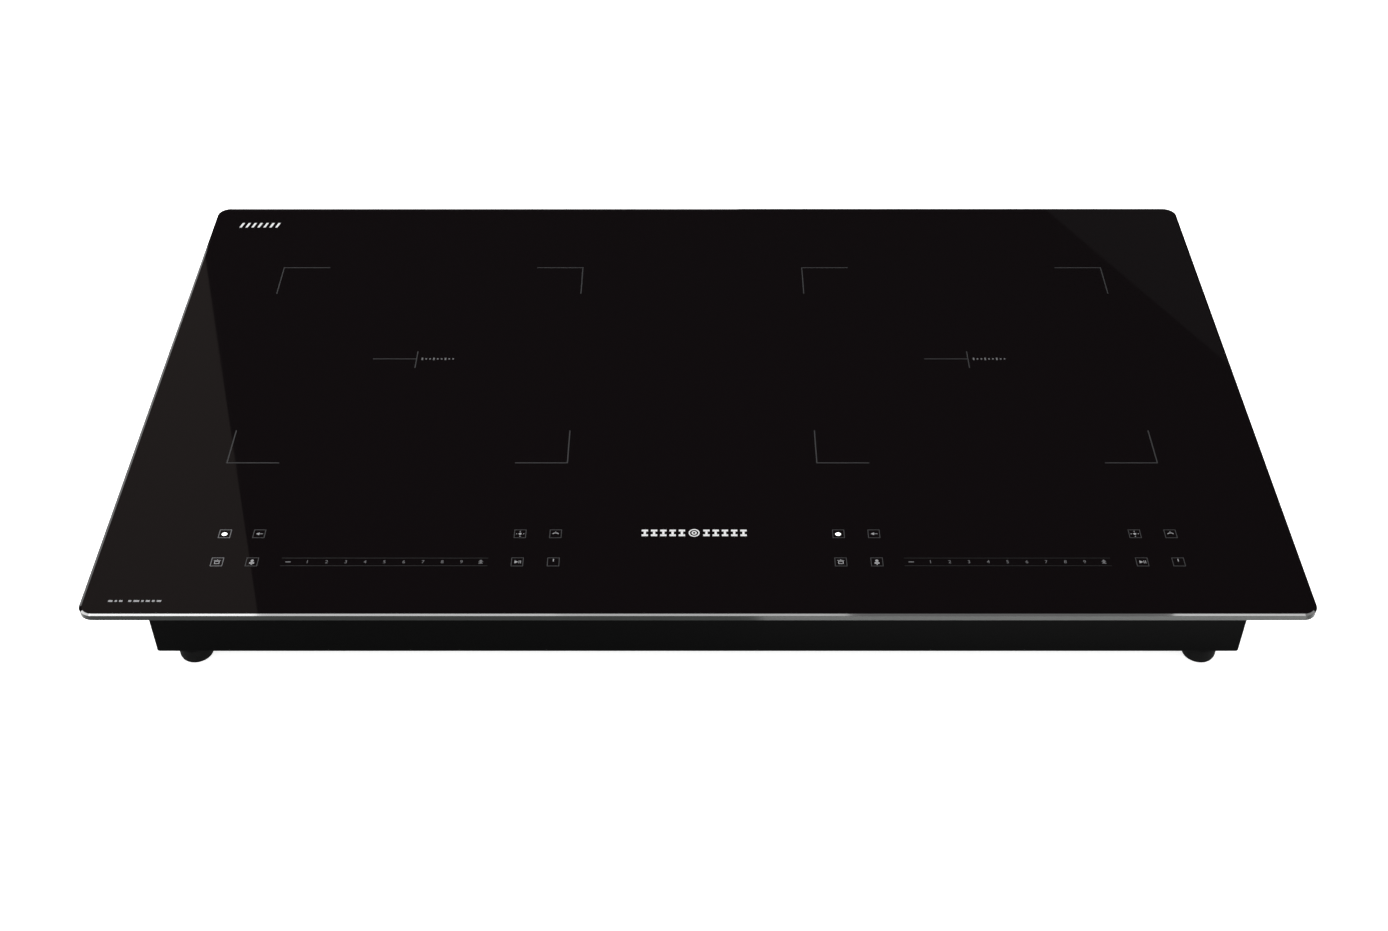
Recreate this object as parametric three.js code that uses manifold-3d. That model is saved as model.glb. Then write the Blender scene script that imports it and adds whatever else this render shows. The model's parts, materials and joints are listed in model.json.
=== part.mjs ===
// A two-zone built-in induction hob: a black ceramic glass with touch keys, bonded to a steel frame
// and screwed to a shallow steel case. Each zone has a sprung coil pressed up against the glass, its
// own inverter board and its own blower. Millimetres, +X to the right, +Y to the back, +Z up.
// The origin is on the surface that the feet stand on, under the middle of the glass.
import * as THREE from "three";
import { mergeVertices } from "three/addons/utils/BufferGeometryUtils.js";
import Module from "manifold-3d";

const wasm = await Module();
wasm.setup();

// ---------------------------------------------------------------- driving dimensions
const GAP = 0.3; // between two pieces that touch
const SHEET = 1.0; // steel sheet of the case and the frame

const TOTAL_HEIGHT = 70;
const GLASS_WIDTH = 730;
const GLASS_DEPTH = 430;
const GLASS_THICKNESS = 4;
const GLASS_CORNER = 9;
const GLASS_BEVEL_WIDTH = 1.6; // the ground facet round the top: how far in it reaches
const GLASS_BEVEL_DROP = 0.4; // and how far it falls

const CASE_WIDTH = 667;
const CASE_DEPTH = 382;
const CASE_CORNER = 1.5;
const CASE_FLOOR = 12.7; // underside of the case
const FOOT_RADIUS = 10.4;
const FOOT_X = 313;
const FOOT_Y = 179.5;

const SEAL_WIDTH = 9;
const SEAL_HEIGHT = 3;
const SEAL_SETBACK = 4; // from the edge of the glass
const FRAME_FLANGE = 10;
const FRAME_SKIRT_FOOT = 52; // height of the skirt's lower edge
const SCREW_Y = 120;
const SCREW_Z = 58;
const SCREW_SHANK = 1.8;
const SCREW_HEAD = 3.6;

// Middles of the two cooking zones. Each coil sits under its printed zone.
const ZONES = { left: { x: -193, side: -1 }, right: { x: 186, side: 1 } };
const ZONE_Y = 28.5;
const COIL_RADIUS = 95;
const SPRING_CIRCLE = 84;
const SPRING_ANGLES = [90, 210, 330];
const SPRING_RADIUS = 4.6;
const SPRING_WIRE = 1.2;
const SPRING_TURNS = 3.5;
const LEAD_OFFSET = 19; // the coil lead comes down this far in front of the coil's middle

const SHELF_TOP = 38.2;
const SHELF_THICKNESS = 1.2;
const SHELF_WIDTH = 648;
const SHELF_DEPTH = 250;

const BLOWER_X = 58;
const BLOWER_Y = 62;
const BLOWER_RADIUS = 42;
const BLOWER_FLOOR = 14.3;
const BLOWER_HEIGHT = 20;
const BLOWER_WALL = 1.6;
const WHEEL_RADIUS = 36;
const WHEEL_BLADES = 16;

const BOARD_X = 215; // middle of an inverter board
const BOARD_Y = 42;
const BOARD_WIDTH = 190;
const BOARD_DEPTH = 140;
const BOARD_THICKNESS = 1.6;
const BOARD_Z = 18;

const KEY_ROW_Y = -160; // middle line of the touch boards
const TOUCH_X = 189;

// ---------------------------------------------------------------- heights worked out from those
const GLASS_UNDERSIDE = TOTAL_HEIGHT - GLASS_THICKNESS;
const UNDER_GLASS = GLASS_UNDERSIDE - GAP;
const FRAME_UNDERSIDE = UNDER_GLASS - SHEET;
const CASE_RIM = FRAME_UNDERSIDE - GAP;
const CASE_INSIDE = CASE_FLOOR + SHEET;
const SHELF_UNDERSIDE = SHELF_TOP - SHELF_THICKNESS;
// The layers of a coil unit, each hung below the one above it.
const layer = (top, thickness) => ({ bottom: top - thickness, top });
const MICA = layer(UNDER_GLASS, 0.8);
const WINDING = layer(MICA.bottom - GAP, 4.2);
const CARRIER = layer(WINDING.bottom - GAP, 2.5);
const FERRITE = layer(CARRIER.bottom - GAP, 5);
const PLATE = layer(FERRITE.bottom - GAP, 1.5);

// ---------------------------------------------------------------- finishes
const finish = (color, roughness, metalness = 0) =>
  new THREE.MeshStandardMaterial({ color, roughness, metalness });
const FINISHES = {
  ceramicGlass: () => finish("#100e0f", 0.08),
  blackPowder: () => finish("#1a1a1b", 0.7, 0.2),
  galvanised: () => finish("#a9adb0", 0.45, 1),
  aluminium: () => finish("#c9cccf", 0.4, 1),
  zincSteel: () => finish("#b9bcc0", 0.35, 1),
  springSteel: () => finish("#8f9296", 0.35, 1),
  rubber: () => finish("#161616", 0.85),
  foam: () => finish("#222222", 0.95),
  mica: () => finish("#c8bfa4", 0.5),
  ferrite: () => finish("#3a3a3c", 0.8),
  litz: () => finish("#b06a35", 0.5, 0.9),
  silicone: () => finish("#d9d5cc", 0.7),
  whiteNylon: () => finish("#e6e3da", 0.6),
  blackNylon: () => finish("#1d1d1f", 0.55),
  circuitBoard: () => finish("#2d6b3a", 0.5),
  epoxy: () => finish("#1b1b1d", 0.5),
  capacitorCase: () => finish("#b8a23c", 0.45),
  wire: () => finish("#6a6a6e", 0.6),
};

// ---------------------------------------------------------------- shapes
function roundedRectangle(width, depth, radius) {
  const x = width / 2;
  const y = depth / 2;
  const shape = new THREE.Shape();
  shape.moveTo(-x + radius, -y);
  shape.lineTo(x - radius, -y);
  shape.absarc(x - radius, -y + radius, radius, -Math.PI / 2, 0);
  shape.lineTo(x, y - radius);
  shape.absarc(x - radius, y - radius, radius, 0, Math.PI / 2);
  shape.lineTo(-x + radius, y);
  shape.absarc(-x + radius, y - radius, radius, Math.PI / 2, Math.PI);
  shape.lineTo(-x, -y + radius);
  shape.absarc(-x + radius, -y + radius, radius, Math.PI, 1.5 * Math.PI);
  return shape;
}

// A flat outline raised from one height to another.
const slab = (shape, bottom, top, curveSegments = 3) =>
  new THREE.ExtrudeGeometry(shape, { depth: top - bottom, bevelEnabled: false, curveSegments })
    .translate(0, 0, bottom);

// A box by its middle in plan and its two heights.
const block = (width, depth, bottom, top, x = 0, y = 0) =>
  new THREE.BoxGeometry(width, depth, top - bottom).translate(x, y, (bottom + top) / 2);

// A round bar that stands upright.
const bar = (radius, bottom, top, x = 0, y = 0, segments = 16) =>
  new THREE.CylinderGeometry(radius, radius, top - bottom, segments)
    .rotateX(Math.PI / 2)
    .translate(x, y, (bottom + top) / 2);

// A turned piece: [radius, height] points, anticlockwise, closed on themselves or on the axis.
const turned = (profile, segments = 20) =>
  new THREE.LatheGeometry(profile.map(([r, z]) => new THREE.Vector2(r, z)), segments)
    .rotateX(Math.PI / 2);

const ring = (inner, outer, bottom, top, segments = 32) =>
  turned([[outer, bottom], [outer, top], [inner, top], [inner, bottom], [outer, bottom]], segments);

// A section swept along points: the section is a regular polygon or a flat ribbon.
function swept(points, section, steps) {
  const path = new THREE.CatmullRomCurve3(points.map((p) => new THREE.Vector3(...p)));
  return new THREE.ExtrudeGeometry(section, { steps, extrudePath: path, bevelEnabled: false });
}

function polygon(radius, sides) {
  const corner = (i) => {
    const angle = (2 * Math.PI * i) / sides;
    return new THREE.Vector2(radius * Math.cos(angle), radius * Math.sin(angle));
  };
  return new THREE.Shape(Array.from({ length: sides }, (_, i) => corner(i)));
}

// ---------------------------------------------------------------- cutting and joining
function solid(geometry) {
  const plain = new THREE.BufferGeometry();
  plain.setAttribute("position", geometry.getAttribute("position"));
  plain.setIndex(geometry.index);
  const merged = mergeVertices(plain, 1e-3);
  return new wasm.Manifold(new wasm.Mesh({
    numProp: 3,
    vertProperties: merged.getAttribute("position").array,
    triVerts: new Uint32Array(merged.index.array),
  }));
}

function geometryOf(manifold) {
  const { vertProperties, triVerts } = manifold.getMesh();
  const geometry = new THREE.BufferGeometry();
  geometry.setAttribute("position", new THREE.BufferAttribute(vertProperties, 3));
  geometry.setIndex(new THREE.BufferAttribute(triVerts, 1));
  geometry.computeVertexNormals();
  return geometry;
}

const join = (...pieces) => geometryOf(pieces.map(solid).reduce((whole, piece) => whole.add(piece)));
const cut = (body, ...tools) =>
  geometryOf(tools.reduce((left, tool) => left.subtract(solid(tool)), solid(body)));
const common = (a, b) => geometryOf(solid(a).intersect(solid(b)));

const hob = new THREE.Group();

function add(name, geometry, material, parent = hob) {
  const mesh = new THREE.Mesh(geometry, material);
  mesh.name = name;
  parent.add(mesh);
  return mesh;
}

// ---------------------------------------------------------------- glass, seal and frame
function glassTop() {
  const outline = roundedRectangle(GLASS_WIDTH - 2 * GLASS_BEVEL_WIDTH,
    GLASS_DEPTH - 2 * GLASS_BEVEL_WIDTH, GLASS_CORNER - GLASS_BEVEL_WIDTH);
  const bevelled = new THREE.ExtrudeGeometry(outline, {
    depth: GLASS_THICKNESS - GLASS_BEVEL_DROP,
    bevelThickness: GLASS_BEVEL_DROP,
    bevelSize: GLASS_BEVEL_WIDTH,
    bevelSegments: 1,
    curveSegments: 8,
  }).translate(0, 0, GLASS_UNDERSIDE);
  // The bevel is only on the top edge, so the lower one is cut off level with the underside.
  return common(bevelled, block(GLASS_WIDTH + 2, GLASS_DEPTH + 2, GLASS_UNDERSIDE, TOTAL_HEIGHT + 1));
}

function rimSeal() {
  const width = GLASS_WIDTH - 2 * SEAL_SETBACK;
  const depth = GLASS_DEPTH - 2 * SEAL_SETBACK;
  const shape = roundedRectangle(width, depth, GLASS_CORNER - SEAL_SETBACK);
  shape.holes.push(roundedRectangle(width - 2 * SEAL_WIDTH, depth - 2 * SEAL_WIDTH, 2));
  return slab(shape, UNDER_GLASS - SEAL_HEIGHT, UNDER_GLASS);
}

// A bar that lies along X, for the side screws and their holes.
const sideBar = (radius, from, to, y, z, segments = 12) =>
  new THREE.CylinderGeometry(radius, radius, Math.abs(to - from), segments)
    .rotateZ(Math.PI / 2)
    .translate((from + to) / 2, y, z);

const sideHoles = (radius) =>
  [-1, 1].flatMap((side) => [-SCREW_Y, SCREW_Y].map((y) =>
    sideBar(radius, side * (CASE_WIDTH / 2 - 8), side * (CASE_WIDTH / 2 + 4), y, SCREW_Z)));

function glassFrame() {
  const inset = SHEET + GAP;
  const flange = roundedRectangle(CASE_WIDTH, CASE_DEPTH, CASE_CORNER);
  flange.holes.push(
    roundedRectangle(CASE_WIDTH - 2 * FRAME_FLANGE, CASE_DEPTH - 2 * FRAME_FLANGE, 4));
  const corner = CASE_CORNER - SHEET;
  const skirt = roundedRectangle(CASE_WIDTH - 2 * inset, CASE_DEPTH - 2 * inset, corner);
  skirt.holes.push(
    roundedRectangle(CASE_WIDTH - 2 * inset - 2 * SHEET, CASE_DEPTH - 2 * inset - 2 * SHEET, corner));
  const whole = join(
    slab(flange, FRAME_UNDERSIDE, UNDER_GLASS),
    slab(skirt, FRAME_SKIRT_FOOT, FRAME_UNDERSIDE + SHEET / 2));
  return cut(whole, ...sideHoles(SCREW_SHANK + 0.2));
}

// ---------------------------------------------------------------- case and feet
const GRILLE_RADIUS = 31;
const GRILLE_PITCH = 7;
const GRILLE_SLOT = 3.6;
const SLOT_PITCH = 9; // between the slots of a row
const FLOOR_SLOTS = { x: 190, y: -118, count: 12, length: 34 };
const SIDE_SLOTS = { y: BOARD_Y + 4, bottom: 20, top: 42, count: 10, width: 4 };
const BACK_SLOTS = { middles: [-200, 0], bottom: 26, top: 46, count: 9, width: 4 };
const FOOT_PLUG = 4; // radius of a foot's hole

// Slots across a circle, each as long as the circle is wide there.
function roundGrille(x, y) {
  const rows = Math.floor(GRILLE_RADIUS / GRILLE_PITCH);
  return Array.from({ length: 2 * rows + 1 }, (_, i) => {
    const offset = (i - rows) * GRILLE_PITCH;
    const length = 2 * Math.sqrt(GRILLE_RADIUS ** 2 - offset ** 2);
    return block(length, GRILLE_SLOT, CASE_FLOOR - 1, CASE_INSIDE + 1, x, y + offset);
  });
}

// Offsets of a row of slots from the row's middle.
const offsets = (count) =>
  Array.from({ length: count }, (_, i) => (i - (count - 1) / 2) * SLOT_PITCH);

// A row of slots in the floor of the case.
const floorSlots = (side) => offsets(FLOOR_SLOTS.count).map((offset) =>
  block(GRILLE_SLOT, FLOOR_SLOTS.length, CASE_FLOOR - 1, CASE_INSIDE + 1,
    side * FLOOR_SLOTS.x + offset, FLOOR_SLOTS.y));

// Upright slots in a side wall, where the blowers' air leaves.
const sideSlots = (side) => Array.from({ length: SIDE_SLOTS.count }, (_, i) =>
  block(4 * SHEET, SIDE_SLOTS.width, SIDE_SLOTS.bottom, SIDE_SLOTS.top,
    side * CASE_WIDTH / 2, SIDE_SLOTS.y + SLOT_PITCH * i));

// Upright slots in the back wall.
const backSlots = (x) => offsets(BACK_SLOTS.count).map((offset) =>
  block(BACK_SLOTS.width, 4 * SHEET, BACK_SLOTS.bottom, BACK_SLOTS.top, x + offset, CASE_DEPTH / 2));

const footHoles = () =>
  [-FOOT_X, FOOT_X].flatMap((x) =>
    [-FOOT_Y, FOOT_Y].map((y) => bar(FOOT_PLUG, CASE_FLOOR - 1, CASE_INSIDE + 1, x, y, 12)));

// The mains cable comes in through the floor, so that it clears the edge of the cut-out.
const GLAND = { x: 190, y: 150, thread: 8, nut: 11, bore: 4.5 };

function bottomCase() {
  const outer = slab(roundedRectangle(CASE_WIDTH, CASE_DEPTH, CASE_CORNER), CASE_FLOOR, CASE_RIM);
  const inner = slab(
    roundedRectangle(CASE_WIDTH - 2 * SHEET, CASE_DEPTH - 2 * SHEET, CASE_CORNER - SHEET),
    CASE_INSIDE, CASE_RIM + 1);
  return cut(outer, inner,
    ...sideHoles(SCREW_SHANK + 0.3),
    ...footHoles(),
    ...roundGrille(-BLOWER_X, BLOWER_Y),
    ...roundGrille(BLOWER_X, BLOWER_Y),
    ...floorSlots(-1),
    ...floorSlots(1),
    ...sideSlots(-1),
    ...sideSlots(1),
    ...BACK_SLOTS.middles.flatMap(backSlots),
    bar(GLAND.thread + GAP, CASE_FLOOR - 1, CASE_INSIDE + 1, GLAND.x, GLAND.y));
}

// A round rubber foot whose plug is pushed through a hole in the case and locks above it.
function foot() {
  const top = CASE_FLOOR - GAP;
  return turned([
    [0, 0], [FOOT_RADIUS - 1.2, 0], [FOOT_RADIUS, 1.2],
    [FOOT_RADIUS, top - 1], [FOOT_RADIUS - 0.8, top], [FOOT_PLUG - 0.4, top],
    [FOOT_PLUG - 0.4, CASE_INSIDE + GAP],
    [4.8, CASE_INSIDE + GAP], [3, CASE_INSIDE + 4], [0, CASE_INSIDE + 4],
  ], 16);
}

function caseScrew(side) {
  const wall = CASE_WIDTH / 2;
  return join(
    sideBar(SCREW_SHANK, side * (wall - 8), side * (wall + 1), 0, 0),
    sideBar(SCREW_HEAD, side * (wall + GAP), side * (wall + GAP + 2.2), 0, 0, 20));
}

// ---------------------------------------------------------------- coil units
function springPlaces() {
  return SPRING_ANGLES.map((degrees) => {
    const angle = THREE.MathUtils.degToRad(degrees);
    return [SPRING_CIRCLE * Math.cos(angle), SPRING_CIRCLE * Math.sin(angle)];
  });
}

// Aluminium disc that shields the electronics from the coil, with a hole for the lead.
const coilPlate = () =>
  cut(ring(10, COIL_RADIUS + 6, PLATE.bottom, PLATE.top),
    bar(5, PLATE.bottom - 1, PLATE.top + 1, 0, -LEAD_OFFSET, 12));

// Eight flat ferrite bars laid out like spokes from an inner ring.
function ferriteStar() {
  const spokes = Array.from({ length: 8 }, (_, i) =>
    block(62, 15, FERRITE.bottom, FERRITE.top, 61, 0).rotateZ((i + 0.5) * Math.PI / 4));
  return join(ring(26, 34, FERRITE.bottom, FERRITE.top, 24), ...spokes);
}

// The moulded former that the winding lies on, with windows between its spokes.
function coilCarrier() {
  const windows = Array.from({ length: 8 }, (_, i) =>
    block(46, 13, CARRIER.bottom - 1, CARRIER.top + 1, 63, 0).rotateZ(i * Math.PI / 4));
  return cut(ring(25, COIL_RADIUS + 3, CARRIER.bottom, CARRIER.top), ...windows);
}

const tempSensor = () =>
  turned([
    [0, PLATE.bottom - 3], [13, PLATE.bottom - 3], [13, PLATE.bottom - GAP],
    [9.6, PLATE.bottom - GAP], [9.6, PLATE.top + GAP], [7, PLATE.top + 1], [7, MICA.bottom - 1],
    [5, MICA.bottom - 0.5], [5, UNDER_GLASS], [0, UNDER_GLASS],
  ], 16);

class Helix extends THREE.Curve {
  getPoint(t) {
    const angle = 2 * Math.PI * SPRING_TURNS * t;
    const low = SHELF_TOP + GAP + SPRING_WIRE / 2;
    const high = PLATE.bottom - GAP - SPRING_WIRE / 2;
    return new THREE.Vector3(
      SPRING_RADIUS * Math.cos(angle), SPRING_RADIUS * Math.sin(angle), low + (high - low) * t);
  }
}
const coilSpring = () =>
  new THREE.ExtrudeGeometry(polygon(SPRING_WIRE / 2, 4), {
    steps: Math.round(SPRING_TURNS * 8), extrudePath: new Helix(), bevelEnabled: false,
  });

// The lead from the winding's inner end, down through the shelf and along to the board.
function coilLead(side) {
  const board = BOARD_Z + BOARD_THICKNESS + 3;
  return swept([
    [0, -LEAD_OFFSET, CARRIER.top + 1], [0, -LEAD_OFFSET, 50], [0, -LEAD_OFFSET, 38],
    [side * 2, -LEAD_OFFSET, 28], [side * 12, -LEAD_OFFSET - 3, board], [side * 24, -LEAD_OFFSET - 4, board],
  ], polygon(2.2, 6), 14);
}

function coilUnit(name, { x, side }) {
  const unit = new THREE.Group();
  unit.position.set(x, ZONE_Y, 0);
  hob.add(unit);
  add(`coil_plate_${name}`, coilPlate(), FINISHES.aluminium(), unit);
  add(`ferrite_star_${name}`, ferriteStar(), FINISHES.ferrite(), unit);
  add(`coil_carrier_${name}`, coilCarrier(), FINISHES.whiteNylon(), unit);
  add(`coil_winding_${name}`, ring(23, COIL_RADIUS, WINDING.bottom, WINDING.top), FINISHES.litz(), unit);
  add(`mica_disc_${name}`, ring(9, COIL_RADIUS + 5, MICA.bottom, MICA.top), FINISHES.mica(), unit);
  add(`temp_sensor_${name}`, tempSensor(), FINISHES.silicone(), unit);
  add(`coil_lead_${name}`, coilLead(side), FINISHES.wire(), unit);
  springPlaces().forEach(([px, py], i) => {
    const spring = add(`coil_spring_${name}_${i + 1}`, coilSpring(), FINISHES.springSteel(), unit);
    spring.position.set(px, py, 0);
  });
}

// The aluminium shelf that both coil units stand on. Its bent legs stand on the case.
function coilShelf() {
  const foot = CASE_INSIDE + GAP;
  const legDepth = 36;
  const toeWidth = 8;
  const top = block(SHELF_WIDTH, SHELF_DEPTH, SHELF_UNDERSIDE, SHELF_TOP, 0, ZONE_Y);
  const leg = (x, y) => block(SHELF_THICKNESS, legDepth, foot, SHELF_TOP - 0.1, x, y);
  const toe = (x, y) => block(toeWidth, legDepth, foot, foot + SHELF_THICKNESS, x, y);
  const legs = [-1, 1].flatMap((side) => [ZONE_Y - 100, ZONE_Y + 100].flatMap((y) => [
    leg(side * (SHELF_WIDTH - SHELF_THICKNESS) / 2, y),
    toe(side * (SHELF_WIDTH - toeWidth) / 2, y)]));
  const zones = Object.values(ZONES);
  const posts = zones.flatMap(({ x }) =>
    springPlaces().map(([px, py]) => bar(3, SHELF_UNDERSIDE + 0.2, SHELF_TOP + 5, x + px, ZONE_Y + py, 10)));
  const leadHoles = zones.map(({ x }) =>
    bar(8, SHELF_UNDERSIDE - 1, SHELF_TOP + 1, x, ZONE_Y - LEAD_OFFSET, 12));
  const airSlots = zones.flatMap(({ x }) => [-50, -25, 25, 50].map((dx) =>
    block(8, 60, SHELF_UNDERSIDE - 1, SHELF_TOP + 1, x + dx, ZONE_Y + 30)));
  return cut(join(top, ...legs, ...posts), ...leadHoles, ...airSlots);
}

// ---------------------------------------------------------------- blowers
// The plan of the scroll for a blower that blows towards -X: a round with a straight outlet.
function scroll(radius, outletNear, outletFar, outletEnd) {
  const shape = new THREE.Shape();
  const start = Math.asin(outletNear / radius);
  shape.absarc(0, 0, radius, Math.PI / 2, Math.PI - start, true);
  shape.lineTo(-outletEnd, outletNear);
  shape.lineTo(-outletEnd, outletFar);
  shape.lineTo(0, outletFar);
  return shape;
}

function blowerHousing() {
  const top = BLOWER_FLOOR + BLOWER_HEIGHT;
  const outlet = 10; // the outlet's near wall, from the wheel's middle
  const outletEnd = 52;
  const intake = 27;
  const within = BLOWER_RADIUS - BLOWER_WALL;
  const outer = slab(scroll(BLOWER_RADIUS, outlet, BLOWER_RADIUS, outletEnd), BLOWER_FLOOR, top, 10);
  const inner = slab(scroll(within, outlet + BLOWER_WALL, within, outletEnd + 8),
    BLOWER_FLOOR + BLOWER_WALL, top - BLOWER_WALL, 10);
  return cut(outer, inner, bar(intake, BLOWER_FLOOR - 1, BLOWER_FLOOR + BLOWER_WALL + 1, 0, 0, 20));
}

// The wheel: an upturned cup round the motor, a back disc, a ring of blades and a front ring.
function blowerWheel() {
  const bottom = BLOWER_FLOOR + BLOWER_WALL + 0.4;
  const top = bottom + 13.7;
  const disc = top - 1.6;
  const body = turned([
    [0, bottom + 1.7], [15, bottom + 1.7], [16.2, bottom + 3], [16.2, disc], [WHEEL_RADIUS, disc],
    [WHEEL_RADIUS, top], [14.2, top], [14.2, bottom + 3.4], [1.5, bottom + 3.4], [1.5, top], [0, top],
  ]);
  const blades = Array.from({ length: WHEEL_BLADES }, (_, i) =>
    block(8.6, 1, bottom + 0.6, disc + 0.5)
      .rotateZ(0.6)
      .translate(WHEEL_RADIUS - 4.4, 0, 0)
      .rotateZ((2 * Math.PI * i) / WHEEL_BLADES));
  return join(body, ring(WHEEL_RADIUS - 8, WHEEL_RADIUS, bottom, bottom + 1.2, 20), ...blades);
}

// The stator that hangs from the housing's roof, with a bore for the wheel's shaft.
const blowerMotor = () => {
  const roof = BLOWER_FLOOR + BLOWER_HEIGHT - BLOWER_WALL;
  return ring(1.9, 12.8, roof - 11, roof - GAP, 20);
};

function blower(name, { side }) {
  const unit = new THREE.Group();
  unit.position.set(side * BLOWER_X, BLOWER_Y, 0);
  unit.scale.x = -side; // the right-hand blower is a mirror of the left-hand one
  hob.add(unit);
  add(`blower_housing_${name}`, blowerHousing(), FINISHES.blackNylon(), unit);
  add(`blower_wheel_${name}`, blowerWheel(), FINISHES.blackNylon(), unit);
  add(`blower_motor_${name}`, blowerMotor(), FINISHES.galvanised(), unit);
}

// ---------------------------------------------------------------- electronics
const BOARD_TOP = BOARD_Z + BOARD_THICKNESS;
const ON_BOARD = BOARD_TOP + GAP;
const PEG_INSET = 8; // the tray's pegs, from the edges of the board

// Four upright bars, each as far in from a corner of a board.
const cornerBars = (radius, bottom, top, width, depth, inset) =>
  [-1, 1].flatMap((sx) => [-1, 1].map((sy) =>
    bar(radius, bottom, top, sx * (width / 2 - inset), sy * (depth / 2 - inset), 8)));

// A moulded tray with a rim and four pegs that its board rests on.
function boardTray() {
  const floor = CASE_INSIDE + GAP;
  const rim = 2;
  const width = BOARD_WIDTH + 10;
  const depth = BOARD_DEPTH + 10;
  const outer = block(width, depth, floor, BOARD_Z + 1);
  const hollow = block(width - 2 * rim, depth - 2 * rim, floor + 1.5, BOARD_Z + 2);
  return join(cut(outer, hollow),
    ...cornerBars(4, floor + 1, BOARD_Z - GAP, BOARD_WIDTH, BOARD_DEPTH, PEG_INSET));
}

const powerBoard = () =>
  cut(block(BOARD_WIDTH, BOARD_DEPTH, BOARD_Z, BOARD_TOP),
    ...cornerBars(1.8, BOARD_Z - 1, BOARD_TOP + 1, BOARD_WIDTH, BOARD_DEPTH, PEG_INSET));

const SINK_LENGTH = 118;
const SINK_DEPTH = 34;
const SINK_FINS = 8;
const SINK_FIN = 1.6;

// An extruded heat sink with its fins along the blower's air stream.
function heatSink() {
  const top = SHELF_UNDERSIDE - 1;
  const base = block(SINK_LENGTH, SINK_DEPTH, ON_BOARD, ON_BOARD + 3.5);
  const pitch = (SINK_DEPTH - SINK_FIN) / (SINK_FINS - 1);
  const fins = Array.from({ length: SINK_FINS }, (_, i) =>
    block(SINK_LENGTH, SINK_FIN, ON_BOARD + 3, top, 0, (SINK_FIN - SINK_DEPTH) / 2 + i * pitch));
  return join(base, ...fins);
}

// A power transistor lying in front of the heat sink, with its three legs to the board.
function igbt() {
  const body = block(16, 5, ON_BOARD + 2, ON_BOARD + 15);
  const legs = [-5.4, 0, 5.4].map((x) => block(1.4, 0.8, ON_BOARD, ON_BOARD + 3, x, 0));
  return join(body, ...legs);
}

const foilCapacitor = () =>
  slab(roundedRectangle(42, 24, 2), ON_BOARD, ON_BOARD + 15, 3);

function generator(name, { side }) {
  const unit = new THREE.Group();
  unit.position.set(side * BOARD_X, BOARD_Y, 0);
  hob.add(unit);
  add(`board_tray_${name}`, boardTray(), FINISHES.blackNylon(), unit);
  add(`power_board_${name}`, powerBoard(), FINISHES.circuitBoard(), unit);
  const sink = add(`heat_sink_${name}`, heatSink(), FINISHES.aluminium(), unit);
  const sinkY = BLOWER_Y + 26 - BOARD_Y; // in line with the blower's outlet
  sink.position.set(-side * (BOARD_WIDTH / 2 - SINK_LENGTH / 2 - 2), sinkY, 0);
  const transistor = add(`igbt_${name}`, igbt(), FINISHES.epoxy(), unit);
  transistor.position.set(sink.position.x, sinkY - SINK_DEPTH / 2 - 2.5 - GAP, 0);
  const capacitor = add(`capacitor_${name}`, foilCapacitor(), FINISHES.capacitorCase(), unit);
  capacitor.position.set(side * 62, -38, 0);
}

const FILTER_Y = -78;

function filterUnit() {
  const unit = new THREE.Group();
  unit.position.set(0, FILTER_Y, 0);
  hob.add(unit);
  const width = 104;
  const depth = 92;
  // The board stands on four spacers of its own, so it needs no tray.
  const legs = cornerBars(3, CASE_INSIDE + GAP, BOARD_Z + 0.5, width, depth, 6);
  add("filter_board", join(block(width, depth, BOARD_Z, BOARD_TOP), ...legs), FINISHES.circuitBoard(), unit);
  const choke = add("filter_choke", ring(8, 19, ON_BOARD, ON_BOARD + 14, 24), FINISHES.litz(), unit);
  choke.position.set(-24, 12, 0);
}

const TERMINAL = { x: 250, y: 156, width: 56 };

// The mains terminal block: a moulded bar with five open wire channels.
function terminalBlock() {
  const floor = CASE_INSIDE + GAP;
  const channels = [-2, -1, 0, 1, 2].map((i) => block(6, 20, floor + 8, floor + 30, i * 10, 8));
  return cut(block(TERMINAL.width, 24, floor, floor + 20), ...channels);
}

// The screwed gland in the floor of the case where the mains cable enters.
function cableGland() {
  const thread = bar(GLAND.thread, CASE_FLOOR - 2, CASE_INSIDE + 6);
  const collar = bar(GLAND.nut, CASE_FLOOR - GAP - 4, CASE_FLOOR - GAP, 0, 0, 6);
  const dome = turned([[0, 3], [6.4, 3], [GLAND.thread, 5], [GLAND.thread, 9], [0, 9]], 16);
  const nut = bar(GLAND.nut, CASE_INSIDE + GAP, CASE_INSIDE + GAP + 4, 0, 0, 6);
  return cut(join(thread, collar, dome, nut), bar(GLAND.bore, 0, CASE_INSIDE + 8));
}

// ---------------------------------------------------------------- touch controls
const TOUCH_WIDTH = 226;
const TOUCH_DEPTH = 38;
const TOUCH_BOARD_Z = 60.5;
const RIBBON = { x: 150, width: 14, thickness: 1.2 };

// The moulded light box over a touch board: a window for each row of lights.
function touchBracket() {
  const bottom = TOUCH_BOARD_Z + BOARD_THICKNESS + GAP;
  const windows = [-101, -80, 80, 101].flatMap((x) => [-10, 14].map((y) =>
    block(9, 9, bottom - 1, UNDER_GLASS + 1, x, y)));
  const slider = block(124, 8, bottom - 1, UNDER_GLASS + 1, 0, -10);
  return cut(block(TOUCH_WIDTH, TOUCH_DEPTH, bottom, UNDER_GLASS), ...windows, slider);
}

const touchBoard = () =>
  block(TOUCH_WIDTH, TOUCH_DEPTH, TOUCH_BOARD_Z, TOUCH_BOARD_Z + BOARD_THICKNESS);

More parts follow.
